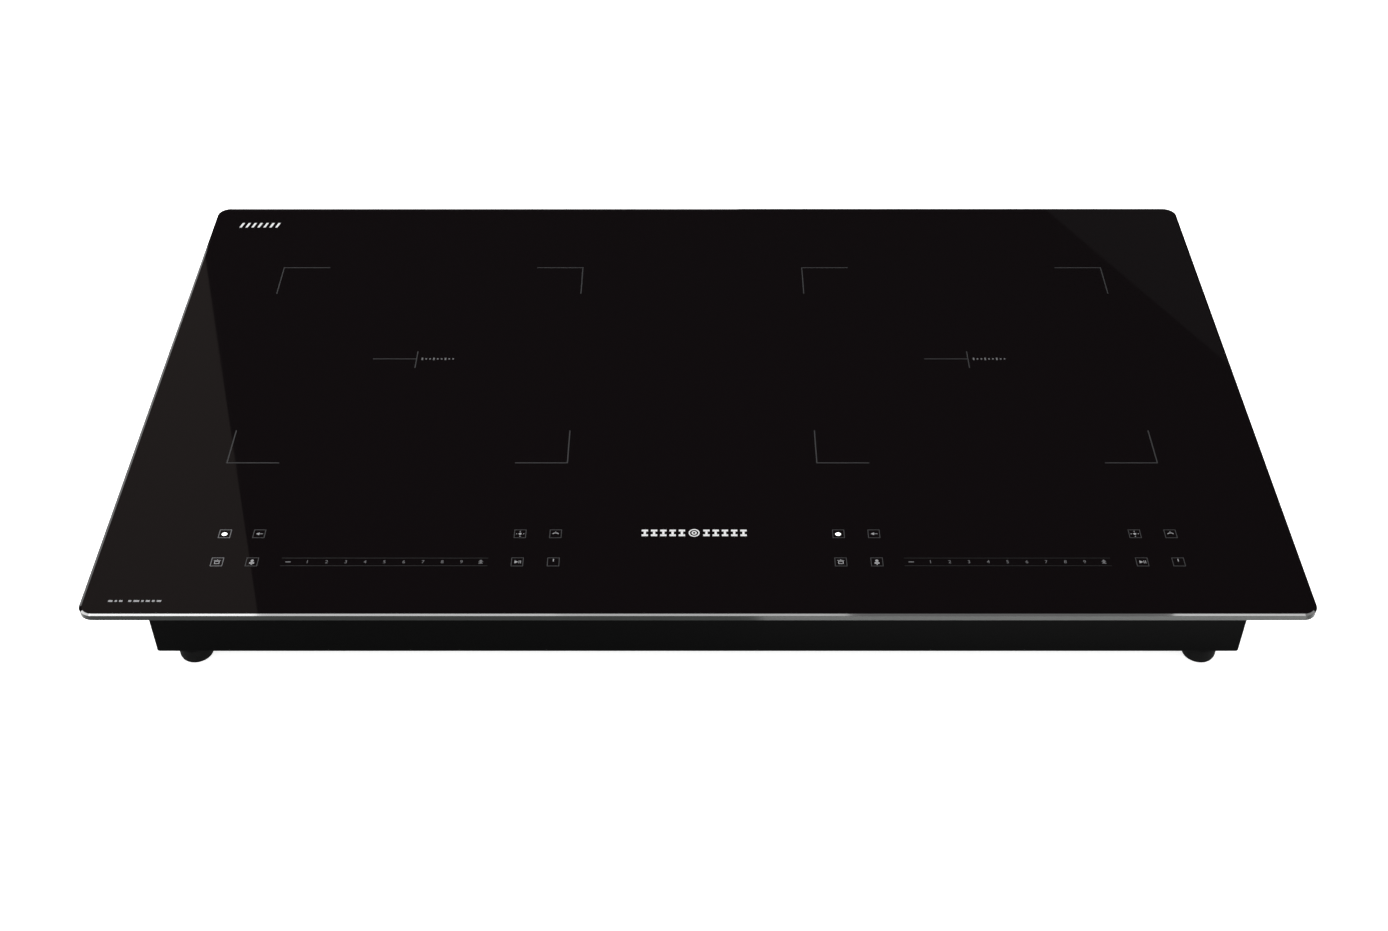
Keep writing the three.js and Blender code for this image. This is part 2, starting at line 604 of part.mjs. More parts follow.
// A flat ribbon from the touch board's back edge, down in front of the shelf, to the inverter board.
function ribbonCable(side) {
  const x = side * RIBBON.x;
  const front = KEY_ROW_Y + TOUCH_DEPTH / 2 - 3;
  const corner = (sx, sy) => new THREE.Vector2(sx * RIBBON.width / 2, sy * RIBBON.thickness / 2);
  const ribbon = new THREE.Shape([corner(-1, -1), corner(1, -1), corner(1, 1), corner(-1, 1)]);
  return swept([
    [x, front, TOUCH_BOARD_Z - GAP - 0.1], [x, front + 2, 54], [x, front + 14, 40], [x, front + 34, 29],
    [x, -70, 26], [x, -38, 25], [x, -22, 24], [x, -16, ON_BOARD + 1],
  ], ribbon, 22);
}

function touchUnit(name, { side }) {
  const unit = new THREE.Group();
  unit.position.set(side * TOUCH_X, KEY_ROW_Y, 0);
  hob.add(unit);
  add(`touch_bracket_${name}`, touchBracket(), FINISHES.whiteNylon(), unit);
  add(`touch_board_${name}`, touchBoard(), FINISHES.circuitBoard(), unit);
  add(`ribbon_cable_${name}`, ribbonCable(side), FINISHES.wire());
}

// The mains lead from the terminal block, between the blowers, to the filter board.
const supplyLead = () =>
  swept([
    [TERMINAL.x - TERMINAL.width / 2 - 1, 158, 28], [190, 158, 28], [90, 150, 26], [24, 135, 25], [0, 110, 25],
    [0, 60, 25], [0, 0, 25], [0, FILTER_Y + 44, 24],
  ], polygon(3.5, 8), 24);

// ---------------------------------------------------------------- assembly
add("glass_top", glassTop(), FINISHES.ceramicGlass());
add("rim_seal", rimSeal(), FINISHES.foam());
add("glass_frame", glassFrame(), FINISHES.galvanised());
add("bottom_case", bottomCase(), FINISHES.blackPowder());

for (const [end, sign] of [["front", -1], ["rear", 1]]) {
  for (const [name, { side }] of Object.entries(ZONES)) {
    add(`foot_${end}_${name}`, foot(), FINISHES.rubber()).position.set(side * FOOT_X, sign * FOOT_Y, 0);
    add(`case_screw_${end}_${name}`, caseScrew(side), FINISHES.zincSteel())
      .position.set(0, sign * SCREW_Y, SCREW_Z);
  }
}

add("coil_shelf", coilShelf(), FINISHES.aluminium());
for (const [name, zone] of Object.entries(ZONES)) {
  coilUnit(name, zone);
  blower(name, zone);
  generator(name, zone);
  touchUnit(name, zone);
}

filterUnit();
add("terminal_block", terminalBlock(), FINISHES.whiteNylon()).position.set(TERMINAL.x, TERMINAL.y, 0);
add("cable_gland", cableGland(), FINISHES.blackNylon()).position.set(GLAND.x, GLAND.y, 0);
add("supply_lead", supplyLead(), FINISHES.wire());

export default hob;
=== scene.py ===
# %% [markdown]
# # A built-in induction hob
# A black ceramic glass with a steel frame bonded under it lies over a slim steel case, which holds two
# sprung coils, boards and blowers. This script dresses the CAD model of it: it rounds the edges that a
# press or a mould leaves round, draws the print on the glass, winds the coils and gives every surface
# the material it is really made of.

# %% Load the CAD model
import json
import math

import bmesh
import bpy
from mathutils import Euler, Matrix, Vector


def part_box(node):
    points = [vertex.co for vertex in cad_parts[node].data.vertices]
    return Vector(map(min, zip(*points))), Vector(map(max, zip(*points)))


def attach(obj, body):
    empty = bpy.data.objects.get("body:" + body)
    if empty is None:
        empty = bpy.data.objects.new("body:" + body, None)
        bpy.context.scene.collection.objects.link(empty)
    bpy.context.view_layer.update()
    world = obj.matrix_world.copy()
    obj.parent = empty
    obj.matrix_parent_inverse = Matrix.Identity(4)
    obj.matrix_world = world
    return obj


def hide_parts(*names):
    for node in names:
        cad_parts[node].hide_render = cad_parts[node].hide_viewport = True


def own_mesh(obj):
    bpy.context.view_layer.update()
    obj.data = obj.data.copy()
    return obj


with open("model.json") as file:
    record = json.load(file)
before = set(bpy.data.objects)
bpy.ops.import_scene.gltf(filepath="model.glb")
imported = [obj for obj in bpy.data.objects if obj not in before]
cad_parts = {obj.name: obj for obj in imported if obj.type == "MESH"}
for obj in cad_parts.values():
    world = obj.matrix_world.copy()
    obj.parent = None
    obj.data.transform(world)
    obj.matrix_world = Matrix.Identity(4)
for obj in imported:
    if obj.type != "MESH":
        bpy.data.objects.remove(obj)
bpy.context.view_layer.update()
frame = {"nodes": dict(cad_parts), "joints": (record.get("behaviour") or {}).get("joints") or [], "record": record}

MM = 0.001
SIDES = ("left", "right")
SIGNS = {"left": -1, "right": 1}  # of X on each side
CORNERS = [(end, side) for end in ("front", "rear") for side in SIDES]


# %% Where things are
def middle(node):
    """The middle of a CAD node's box."""
    low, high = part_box(node)
    return (low + high) / 2


GLASS_LOW, GLASS_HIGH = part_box("glass_top")
CASE_LOW, CASE_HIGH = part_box("bottom_case")
ZONES = {side: middle(f"coil_plate_{side}") for side in SIDES}
BLOWERS = [Vector(joint["pos_m"]) for joint in frame["joints"] if joint["name"].startswith("blower")]
print("glass top at", round(GLASS_HIGH.z / MM, 2), "mm; zones at", ZONES)

# %% [markdown]
# ## The camera
# A product shot of a hob is taken from in front and well above, so that the glass fills the frame and
# the slim case still shows under it. The lens is fairly long, so the sides run together only a little.

# %% Camera
CAMERA_PITCH = 41.465  # degrees down from level
CAMERA_HEIGHT = 0.7631  # above the glass
CAMERA_BACK = 0.9458  # in front of the middle of the glass

camera_data = bpy.data.cameras.new("camera")
camera_data.sensor_width = 36
camera_data.lens = 46.61
camera_data.clip_end = 200
camera = bpy.data.objects.new("camera", camera_data)
camera.location = (-0.0023, -CAMERA_BACK, GLASS_HIGH.z + CAMERA_HEIGHT)
camera.rotation_euler = (math.radians(90 - CAMERA_PITCH), 0, 0)
bpy.context.scene.collection.objects.link(camera)
bpy.context.scene.camera = camera
bpy.context.scene.view_settings.view_transform = "Standard"
print("camera at", tuple(round(value, 3) for value in camera.location))


# %% [markdown]
# ## Small helpers for materials
# Colours are written as hex values, as a paint chart gives them. Those are sRGB numbers, and Blender's
# sockets take linear light, so one function converts them. A second one adds a node with its settings
# and links.

# %% Colour and node helpers
def linear(colour):
    """An sRGB hex colour as linear RGBA."""
    parts = [int(colour[i:i + 2], 16) / 255 for i in (1, 3, 5)]
    return tuple(p / 12.92 if p <= 0.04045 else ((p + 0.055) / 1.055) ** 2.4 for p in parts) + (1.0,)


def add_node(tree, kind, inputs=None, **settings):
    """Adds a shader node. An input is a plain value, or another node's output to link from."""
    made = tree.nodes.new("ShaderNode" + kind)
    for name, value in settings.items():
        setattr(made, name, value)
    for name, value in (inputs or {}).items():
        if isinstance(value, bpy.types.NodeSocket):
            tree.links.new(value, made.inputs[name])
        else:
            made.inputs[name].default_value = value
    return made


def new_material(name, colour, roughness, **sockets):
    """A Principled material. Underscores in a socket's name stand for its spaces."""
    material = bpy.data.materials.new(name)
    material.use_nodes = True
    shader = material.node_tree.nodes["Principled BSDF"]
    shader.inputs["Base Color"].default_value = linear(colour)
    shader.inputs["Roughness"].default_value = roughness
    for socket, value in sockets.items():
        shader.inputs[socket.replace("_", " ")].default_value = value
    return material


def size_to_scale(size_mm):
    """A pattern's scale on Object coordinates, which are metres, from the size of one cell."""
    return 1 / (size_mm * MM)


def noise_on(material, size_mm, stretch=(1, 1, 1), detail=3.0):
    """A noise in a material's own space; a stretch below 1 draws it out along that axis."""
    tree = material.node_tree
    place = add_node(tree, "TexCoord")
    mapping = add_node(tree, "Mapping", {"Vector": place.outputs["Object"], "Scale": stretch})
    return add_node(tree, "TexNoise", {
        "Vector": mapping.outputs["Vector"], "Scale": size_to_scale(size_mm), "Detail": detail,
    }).outputs["Fac"]


def cells_on(material, size_mm, **settings):
    """A pattern of cells, each with its own colour and its distances, in a material's own space."""
    tree = material.node_tree
    place = add_node(tree, "TexCoord")
    return add_node(tree, "TexVoronoi", {
        "Vector": place.outputs["Object"], "Scale": size_to_scale(size_mm)}, **settings)


def vary_colour(material, pattern, dark, light, low=0.35, high=0.65):
    """Runs a pattern between two colours into the base colour."""
    tree = material.node_tree
    share = add_node(tree, "MapRange", {"Value": pattern, "From Min": low, "From Max": high})
    mix = add_node(tree, "Mix", {"Factor": share.outputs["Result"]}, data_type="RGBA")
    mix.inputs[6].default_value = linear(dark)
    mix.inputs[7].default_value = linear(light)
    tree.links.new(mix.outputs[2], tree.nodes["Principled BSDF"].inputs["Base Color"])


def vary_roughness(material, pattern, smooth, rough, low=0.3, high=0.7):
    """Runs a pattern between two roughnesses."""
    tree = material.node_tree
    share = add_node(tree, "MapRange", {
        "Value": pattern, "From Min": low, "From Max": high, "To Min": smooth, "To Max": rough})
    tree.links.new(share.outputs["Result"], tree.nodes["Principled BSDF"].inputs["Roughness"])


def raise_bumps(material, pattern, height_mm):
    """Lets a pattern tilt the surface by bumps of a real height."""
    tree = material.node_tree
    bump = add_node(tree, "Bump", {
        "Height": pattern, "Distance": height_mm * MM, "Strength": 1.0})
    tree.links.new(bump.outputs["Normal"], tree.nodes["Principled BSDF"].inputs["Normal"])


# %% [markdown]
# ## The studio
# The hob stands in a white room on a light table, a white sheet lit from below, so the floor burns out
# and shadows stay faint. A glossy black plate would mirror the room and look grey, so the room is white
# for soft light and dark for reflections. What the glass mirrors is put there on purpose: one dim card,
# far behind on the left, gives the slanting brown-grey wedge, and bright cards and strips stand where
# the narrow facet round the rim looks.

# %% World
MIRRORED_ROOM = 0.015  # how bright the room is for reflections
world = bpy.data.worlds.new("white_room")
bpy.context.scene.world = world
world.use_nodes = True
room = world.node_tree
rays = add_node(room, "LightPath")
bright = add_node(room, "Background", {"Color": linear("#ffffff"), "Strength": 1.0})
dark = add_node(room, "Background", {"Color": linear("#ffffff"), "Strength": MIRRORED_ROOM})
both = add_node(room, "MixShader", {"Fac": rays.outputs["Is Glossy Ray"]})
room.links.new(bright.outputs["Background"], both.inputs[1])
room.links.new(dark.outputs["Background"], both.inputs[2])
room.links.new(both.outputs["Shader"], room.nodes["World Output"].inputs["Surface"])
print("room at", MIRRORED_ROOM, "for reflections")

# %% Floor
FLOOR_SIZE = 30.0
FLOOR_DROP = 0.02 * MM  # keeps the floor clear of the feet's undersides
LIGHT_TABLE_GLOW = 0.8
floor_paint = new_material("white_light_table", "#f4f4f4", 0.9, Specular_IOR_Level=0.0,
                           Emission_Strength=LIGHT_TABLE_GLOW)
raise_bumps(floor_paint, noise_on(floor_paint, 4.0), 0.05)
floor_bm = bmesh.new()
bmesh.ops.create_grid(floor_bm, x_segments=1, y_segments=1, size=FLOOR_SIZE,
                      matrix=Matrix.Translation((0, 0, -FLOOR_DROP)))
floor_mesh = bpy.data.meshes.new("floor")
floor_bm.to_mesh(floor_mesh)
floor_bm.free()
floor_mesh.materials.append(floor_paint)
floor = bpy.data.objects.new("floor", floor_mesh)
bpy.context.scene.collection.objects.link(floor)
print("floor", 2 * FLOOR_SIZE, "m square")


# %% Lights
def area_light(name, place, target, width, height, radiance, colour="#ffffff", roll=0.0):
    """A flat light that faces a target. Its radiance is what a mirror would show of it."""
    data = bpy.data.lights.new(name, "AREA")
    data.shape = "RECTANGLE"
    data.size = width
    data.size_y = height
    data.color = linear(colour)[:3]
    data.energy = radiance * math.pi * width * height
    light = bpy.data.objects.new(name, data)
    aim = (Vector(target) - Vector(place)).to_track_quat("-Z", "Y")
    light.rotation_euler = (aim.to_matrix() @ Matrix.Rotation(math.radians(roll), 3, "Z")).to_euler()
    light.location = place
    bpy.context.scene.collection.objects.link(light)
    return light


area_light("overhead_softbox", (0, -0.6, 2.6), (0, 0, 0), 3.0, 2.2, 0.55)

# The facet along the front mirrors what hangs overhead. Each strip is given as the stretch of the edge
# that shows it, from and to, and its radiance. A flat mirror shows a light further out than the edge's
# own x, in proportion to the length of the light's path.
EDGE_STRIPS = (("far_left", -0.40, -0.257, 21.0), ("left", -0.257, -0.08, 11.0), ("middle", -0.08, 0.09, 9.0),
               ("right", 0.09, 0.28, 2.6), ("far_right", 0.28, 0.37, 11.0))
STRIP_HEIGHT = 1.8
STRIP_ELEVATION = math.radians(74.3)  # where the facet looks, above level
STRIP_DEPTH = 0.2
front_edge = Vector((0, GLASS_LOW.y, GLASS_HIGH.z))
climb = STRIP_HEIGHT - front_edge.z
spread = 1 + climb / math.sin(STRIP_ELEVATION) / (camera.location - front_edge).length
for strip_name, start, end, radiance in EDGE_STRIPS:
    centre = Vector(((start + end) / 2 * spread, front_edge.y + climb / math.tan(STRIP_ELEVATION),
                     STRIP_HEIGHT))
    area_light(f"edge_strip_{strip_name}", centre, (centre.x, front_edge.y, front_edge.z),
               (end - start) * spread, STRIP_DEPTH, radiance)

# The dim card's right-hand edge is mirrored along the line that crosses the glass from the left side to
# the front, so it leans a little. The card beside it is bright: only the left-hand facet looks there.
CARD_Y = 3.0
CARD_EDGE = Vector((-1.351, CARD_Y, 2.9))
CARD_LEAN = -3.35  # degrees
CARD_SIZE = (0.66, 4.4)
lean = Matrix.Rotation(math.radians(CARD_LEAN), 3, "Y")
card_middle = CARD_EDGE - lean @ Vector((CARD_SIZE[0] / 2, 0, -0.15))
area_light("dim_side_card", card_middle, card_middle - Vector((0, 1, 0)), *CARD_SIZE, 0.14, "#fff0e4",
           roll=CARD_LEAN)
area_light("bright_side_card", (-2.95, CARD_Y, 1.75), (-2.95, 0, 1.75), 1.7, 1.7, 2.0)
area_light("back_edge_card", (-0.5, CARD_Y, 0.35), (-0.5, 0, 0.35), 1.2, 0.4, 1.7)

# A very dim card on the right gives the far right-hand corner of the glass its faint slanting sheen.
area_light("faint_corner_card", (1.36, CARD_Y, 1.967), (1.36, 0, 1.967), 1.4, 0.5, 0.035, roll=-41.6)

# Round the two front corners the facet turns from the strips overhead towards the sides.
for side, sign, radiance in (("left", -1, 14.0), ("right", 1, 4.0)):
    place = Vector((sign * 1.42, 0.55, STRIP_HEIGHT))
    area_light(f"corner_strip_{side}", place, (place.x, front_edge.y, front_edge.z), 0.9, 0.3, radiance,
               roll=sign * 33)

# A panel let into the light table before the right-hand half brightens the cut edge there.
area_light("table_panel", (0.29, -0.42, 0.001), (0.29, -0.42, 1), 0.5, 0.3, 7.0)

# %% [markdown]
# ## Glass and print materials
# The top is black glass-ceramic: a glass coloured through, rolled flat and polished like a mirror. Only
# its edge shows that it is glass. The upright edge is ground with a wheel, and fine lines from the wheel
# run along it, while the narrow facet above it is polished again. The signs are a ceramic enamel, screen
# printed and fired on, so they are matt and thin, and a little uneven from the dots of the screen.

# %% Glass materials
ceramic_glass = new_material("black_glass_ceramic_polished", "#0a0708", 0.02, IOR=1.52)
vary_roughness(ceramic_glass, noise_on(ceramic_glass, 90.0), 0.01, 0.025)
polished_facet = new_material("glass_ceramic_polished_facet", "#0a0708", 0.04, IOR=1.52)
vary_roughness(polished_facet, noise_on(polished_facet, 30.0), 0.03, 0.06)
ground_glass = new_material("glass_ceramic_wheel_ground_edge", "#0d100e", 0.2, Specular_IOR_Level=0.15)
wheel_lines = noise_on(ground_glass, 0.25, stretch=(0.01, 0.01, 1))
raise_bumps(ground_glass, wheel_lines, 0.002)
vary_colour(ground_glass, wheel_lines, "#0a0d0b", "#141815")
print("polished top, polished facet, ground edge")


# %% Print materials
def enamel(name, dark, light):
    """Fired ceramic enamel with the dots of the printing screen, drawn 0.3 mm so that they can show."""
    made = new_material(name, light, 0.45, IOR=1.5)
    vary_colour(made, noise_on(made, 0.3), dark, light)
    return made


enamel_dim = enamel("grey_ceramic_enamel_dim", "#111111", "#1a1a1a")
enamel_faint = enamel("grey_ceramic_enamel_faint", "#262627", "#363638")
enamel_mid = enamel("grey_ceramic_enamel_mid", "#4a4a4c", "#646466")
enamel_grey = enamel("grey_ceramic_enamel", "#727274", "#909092")
enamel_silver = enamel("silver_ceramic_enamel", "#a9a9aa", "#d2d2d2")
lit_key = new_material("lit_indicator_diffuser", "#ffffff", 0.4, Emission_Strength=1.0,
                       Emission_Color=linear("#fffdf6"))
raise_bumps(lit_key, noise_on(lit_key, 0.5), 0.01)
print("five enamels and a lit key")

# %% [markdown]
# ## Materials of the case and what it holds
# The case is folded from steel sheet and powder coated black: the powder melts into a skin like very
# fine orange peel. The feet are moulded rubber, and the frame is galvanised steel with large zinc
# crystals. The parts inside are the plain plastics and metals of an appliance.

# %% Case materials
powder_coat = new_material("black_powder_coated_steel", "#060606", 0.6, Specular_IOR_Level=0.012)
raise_bumps(powder_coat, noise_on(powder_coat, 0.9), 0.03)
vary_colour(powder_coat, noise_on(powder_coat, 0.5), "#040404", "#080808")

foot_rubber = new_material("black_moulded_rubber", "#090909", 0.75, Specular_IOR_Level=0.06)
raise_bumps(foot_rubber, noise_on(foot_rubber, 0.6), 0.02)
vary_colour(foot_rubber, noise_on(foot_rubber, 6.0), "#070707", "#0c0c0c")

seal_foam = new_material("black_closed_cell_foam", "#141414", 0.95, Specular_IOR_Level=0.1)
raise_bumps(seal_foam, noise_on(seal_foam, 0.7), 0.15)
vary_colour(seal_foam, noise_on(seal_foam, 1.1), "#0c0c0c", "#1f1f1f")

silicone_black = new_material("black_silicone_adhesive", "#0e0e0e", 0.35, IOR=1.41)
raise_bumps(silicone_black, noise_on(silicone_black, 3.0), 0.08)
print("powder coat, rubber, foam and silicone")


# %% Metal materials
def zinc_crystals(name, dark, light, roughness):
    """Hot-dip zinc: flat crystals about 8 mm across, each a slightly different grey."""
    made = new_material(name, light, roughness, Metallic=1.0)
    cells = cells_on(made, 8.0)
    grey = add_node(made.node_tree, "SeparateColor", {"Color": cells.outputs["Color"]})
    vary_colour(made, grey.outputs["Red"], dark, light, 0.0, 1.0)
    vary_roughness(made, grey.outputs["Green"], roughness - 0.08, roughness + 0.1, 0.0, 1.0)
    return made


def rolled_metal(name, dark, light, roughness, along=(0.02, 1, 1)):
    """Rolled or drawn metal: fine lines 0.2 mm apart, drawn out along one axis."""
    made = new_material(name, light, roughness, Metallic=1.0)
    lines = noise_on(made, 0.2, stretch=along)
    vary_colour(made, lines, dark, light)
    raise_bumps(made, lines, 0.003)
    return made


galvanised = zinc_crystals("hot_dip_galvanised_steel", "#8d9194", "#b4b8bb", 0.42)
zinc_plate = rolled_metal("bright_zinc_plated_steel", "#9fa4a8", "#c4c8cc", 0.3)
aluminium_sheet = rolled_metal("mill_finish_aluminium_sheet", "#b4b8bc", "#cdd0d3", 0.38)
aluminium_extruded = rolled_metal("extruded_aluminium", "#a8acb0", "#c2c6c9", 0.42)
spring_wire = rolled_metal("cold_drawn_spring_steel", "#707479", "#93979c", 0.33, along=(1, 1, 1))
print("galvanised, zinc plated, aluminium and spring steel")


# %% Plastics and other materials
def moulded(name, dark, light, roughness, grain_mm=0.35):
    """Injection-moulded plastic: the spark-eroded grain of the tool, and slight flow marks."""
    made = new_material(name, light, roughness, IOR=1.49)
    raise_bumps(made, noise_on(made, grain_mm), 0.02)
    vary_colour(made, noise_on(made, 25.0), dark, light)
    return made


white_nylon = moulded("natural_glass_filled_nylon", "#d8d4c8", "#e6e3d9", 0.55)
black_nylon = moulded("black_glass_filled_nylon", "#121213", "#1c1c1e", 0.5)
epoxy_black = moulded("black_moulding_epoxy", "#151517", "#1f1f22", 0.45)
film_yellow = moulded("yellow_polyester_film_capacitor", "#b6952f", "#c9a83c", 0.25, 2.0)
wire_grey = moulded("grey_silicone_wire_sleeve", "#55565a", "#6a6b70", 0.5)
wire_white = moulded("white_glass_fibre_sleeve", "#c9c6bd", "#dedbd2", 0.8)
ferrite_grey = moulded("sintered_manganese_zinc_ferrite", "#2c2c2f", "#3d3d41", 0.55, 0.8)
sensor_silicone = moulded("white_silicone_rubber", "#cfccc4", "#dedbd4", 0.6)

# Mica paper is pressed from flakes, so it is mottled on a scale of a few millimetres.
mica_sheet = new_material("pressed_mica_paper", "#cfc5a8", 0.4, IOR=1.58)
mica_flakes = noise_on(mica_sheet, 3.0, detail=6.0)
vary_colour(mica_sheet, mica_flakes, "#9d9274", "#d6cdb2")
raise_bumps(mica_sheet, mica_flakes, 0.02)

# Litz wire is a rope of hundreds of enamelled strands. The rope's twist shows as slanting bands, and the
# band runs round the wire, so it is drawn on the winding's own UV map: U along the wire, V round it.
TWIST_TILES = (400, 6, 1)  # bands along the whole wire and round it
litz = new_material("enamelled_copper_litz", "#b4652c", 0.38, Metallic=0.85)
wire_place = add_node(litz.node_tree, "TexCoord")
slant = add_node(litz.node_tree, "Mapping", {
    "Vector": wire_place.outputs["UV"], "Rotation": (0, 0, math.radians(35)), "Scale": TWIST_TILES})
twist = add_node(litz.node_tree, "TexWave", {
    "Vector": slant.outputs["Vector"], "Scale": 1.0, "Distortion": 0.6})
vary_colour(litz, twist.outputs["Fac"], "#7c3c14", "#c8783a", 0.1, 0.9)
raise_bumps(litz, twist.outputs["Fac"], 0.25)

magnet_wire = new_material("enamelled_copper_wire", "#b4652c", 0.3, Metallic=0.85)
vary_colour(magnet_wire, noise_on(magnet_wire, 2.5), "#93501f", "#c0713a")

# A circuit board is glass-fibre laminate under green solder mask, with paler tracks showing through.
solder_mask = new_material("green_solder_mask_on_fibreglass", "#1f5a2c", 0.35, IOR=1.55)
tracks = cells_on(solder_mask, 6.0, distance="CHEBYCHEV")
vary_colour(solder_mask, tracks.outputs["Distance"], "#2f7a3e", "#1a4d25", 0.25, 0.3)
raise_bumps(solder_mask, tracks.outputs["Distance"], 0.04)
print(len(bpy.data.materials), "materials")


# %% [markdown]
# ## Small helpers for pieces
# A piece is drawn in a bmesh with Blender's own operators and then made an object that rides on a CAD
# body. Its place is in its mesh, and the object itself stays at the origin.

# %% Piece helpers
WELD = 0.001 * MM  # vertices closer than this are one


def new_piece(name, bm, materials, body="housing", replaces=(), smooth=35, flat_faces=True):
    """Makes a finished object of a bmesh and lets it ride on a body."""
    bmesh.ops.dissolve_degenerate(bm, dist=WELD, edges=bm.edges)
    bmesh.ops.recalc_face_normals(bm, faces=bm.faces)
    if bm.calc_volume(signed=True) < 0:
        bmesh.ops.reverse_faces(bm, faces=bm.faces)
    mesh = bpy.data.meshes.new(name)
    bm.to_mesh(mesh)
    bm.free()
    for material in materials:
        mesh.materials.append(material)
    mesh.shade_smooth()
    mesh.set_sharp_from_angle(angle=math.radians(smooth))
    piece = bpy.data.objects.new(name, mesh)
    bpy.context.scene.collection.objects.link(piece)
    if flat_faces:
        weighted = piece.modifiers.new("flat_faces_stay_flat", "WEIGHTED_NORMAL")
        weighted.keep_sharp = True
    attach(piece, body)
    if replaces:
        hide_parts(*replaces)
    print(f"{name}: {len(mesh.polygons)} faces")
    return piece


def add_block(bm, low, high):
    """A box between two corners; returns its vertices."""
    low, high = Vector(low), Vector(high)
    place = Matrix.LocRotScale((low + high) / 2, None, high - low)
    return bmesh.ops.create_cube(bm, size=1, matrix=place)["verts"]


def add_cylinder(bm, base, radius, height, segments, axis="Z"):
    """A round bar from its base along an axis."""
    turn = {"X": Euler((0, math.pi / 2, 0)), "Z": Euler((0, 0, 0))}[axis]
    along = turn.to_matrix() @ Vector((0, 0, height / 2))
    place = Matrix.LocRotScale(Vector(base) + along, turn, None)
    bmesh.ops.create_cone(bm, cap_ends=True, segments=segments, radius1=radius, radius2=radius,
                          depth=height, matrix=place)


def sharp_edges(bm, degrees=30):
    return [edge for edge in bm.edges
            if edge.is_manifold and edge.calc_face_angle(0) > math.radians(degrees)]


def round_edges(bm, edges, width, segments=2):
    bmesh.ops.bevel(bm, geom=edges, offset=width, offset_type="OFFSET", affect="EDGES",
                    segments=segments, profile=0.5, material=-1, clamp_overlap=True)


def upright_edges(bm, verts):
    """The edges of a box that stand along Z."""
    chosen = set(verts)
    return [edge for edge in bm.edges if edge.verts[0] in chosen and edge.verts[1] in chosen
            and abs((edge.verts[0].co - edge.verts[1].co).normalized().z) > 0.99]


def spun(profile, centre, steps):
    """A turned solid from a profile of (radius, height) points in millimetres."""
    bm = bmesh.new()
    points = [bm.verts.new((centre[0] + r * MM, centre[1], z * MM)) for r, z in profile]
    edges = [bm.edges.new(pair) for pair in zip(points, points[1:])]
    bmesh.ops.spin(bm, geom=points + edges, cent=(centre[0], centre[1], 0), axis=(0, 0, 1),
                   angle=2 * math.pi, steps=steps, use_merge=True, use_duplicate=False)
    bmesh.ops.remove_doubles(bm, verts=bm.verts, dist=WELD)
    return bm


def merged_copy(node):
    """A CAD node's mesh with its loose triangles joined and its flat faces made whole."""
    bm = bmesh.new()
    bm.from_mesh(frame["nodes"][node].data)
    bmesh.ops.remove_doubles(bm, verts=bm.verts, dist=2e-6)
    bmesh.ops.dissolve_limit(bm, angle_limit=math.radians(1), verts=bm.verts, edges=bm.edges)
    return bm


# %% [markdown]
# ## The glass
# A hob glass has rounded corners, and a wheel takes a shallow facet off its top edge. In bmesh that is a
# box with its four upright edges bevelled round, whose top face is then inset and raised by the facet's
# fall. A last bevel of less than a tenth of a millimetre takes the sharpness off each arris, which is
# what catches the light as a thin bright line.

# %% Glass
CORNER = 9.0 * MM
FACET_WIDTH = 1.6 * MM
FACET_DROP = 0.4 * MM
ARRIS = 0.08 * MM
PRINT = 0.05 * MM  # thickness of the fired print, which lies on the glass and tops the whole hob

glass = bmesh.new()
glass_top_z = GLASS_HIGH.z - PRINT
plate = add_block(glass, GLASS_LOW, (GLASS_HIGH.x, GLASS_HIGH.y, glass_top_z - FACET_DROP))
round_edges(glass, upright_edges(glass, plate), CORNER, 24)
top_face = max(glass.faces, key=lambda face: face.calc_center_median().z)
bmesh.ops.inset_region(glass, faces=[top_face], thickness=FACET_WIDTH, depth=FACET_DROP,
                       use_even_offset=True)
round_edges(glass, sharp_edges(glass, 10), ARRIS, 2)


def glass_finish(face):
    """Which of the three finishes a face has: polished top, polished facet, ground edge."""
    if face.normal.z < 0.6:
        return 2
    return 0 if face.normal.z > 0.999 else 1


glass.normal_update()
for face in glass.faces:
    face.material_index = glass_finish(face)
new_piece("ceramic_glass", glass, [ceramic_glass, polished_facet, ground_glass],
          replaces=["glass_top"], smooth=6)


# %% [markdown]
# ## The print on the glass
# The print is made of outlines, bars, rings and a few numbers. Each is a flat solid as thin as fired
# enamel. An outline is a rectangle, inset by the line's width and with its middle taken out, and a ring
# is a small face spun about the sign's middle. Marks of one kind and ink at a zone are one piece.

# %% Print helpers
def print_piece(name, bm, ink):
    new_piece(name, bm, [ink])


INK_LOW = GLASS_HIGH.z - PRINT
INK_HIGH = GLASS_HIGH.z


def thicken(bm, faces):
    """Raises flat faces that lie on the glass to the print's thickness."""
    raised = bmesh.ops.extrude_face_region(bm, geom=faces)["geom"]
    bmesh.ops.translate(bm, verts=[item for item in raised if isinstance(item, bmesh.types.BMVert)],
                        vec=(0, 0, INK_HIGH - INK_LOW))


def flat_face(bm, x0, y0, x1, y1):
    """A rectangle on the glass, in millimetres."""
    place = Matrix.LocRotScale(Vector(((x0 + x1) / 2 * MM, (y0 + y1) / 2 * MM, INK_LOW)), None,
                               Vector(((x1 - x0) / 2 * MM, (y1 - y0) / 2 * MM, 1)))
    verts = bmesh.ops.create_grid(bm, x_segments=1, y_segments=1, size=1, matrix=place)["verts"]
    return verts[0].link_faces[0]


def ink_bar(bm, x0, y0, x1, y1):
    thicken(bm, [flat_face(bm, x0, y0, x1, y1)])


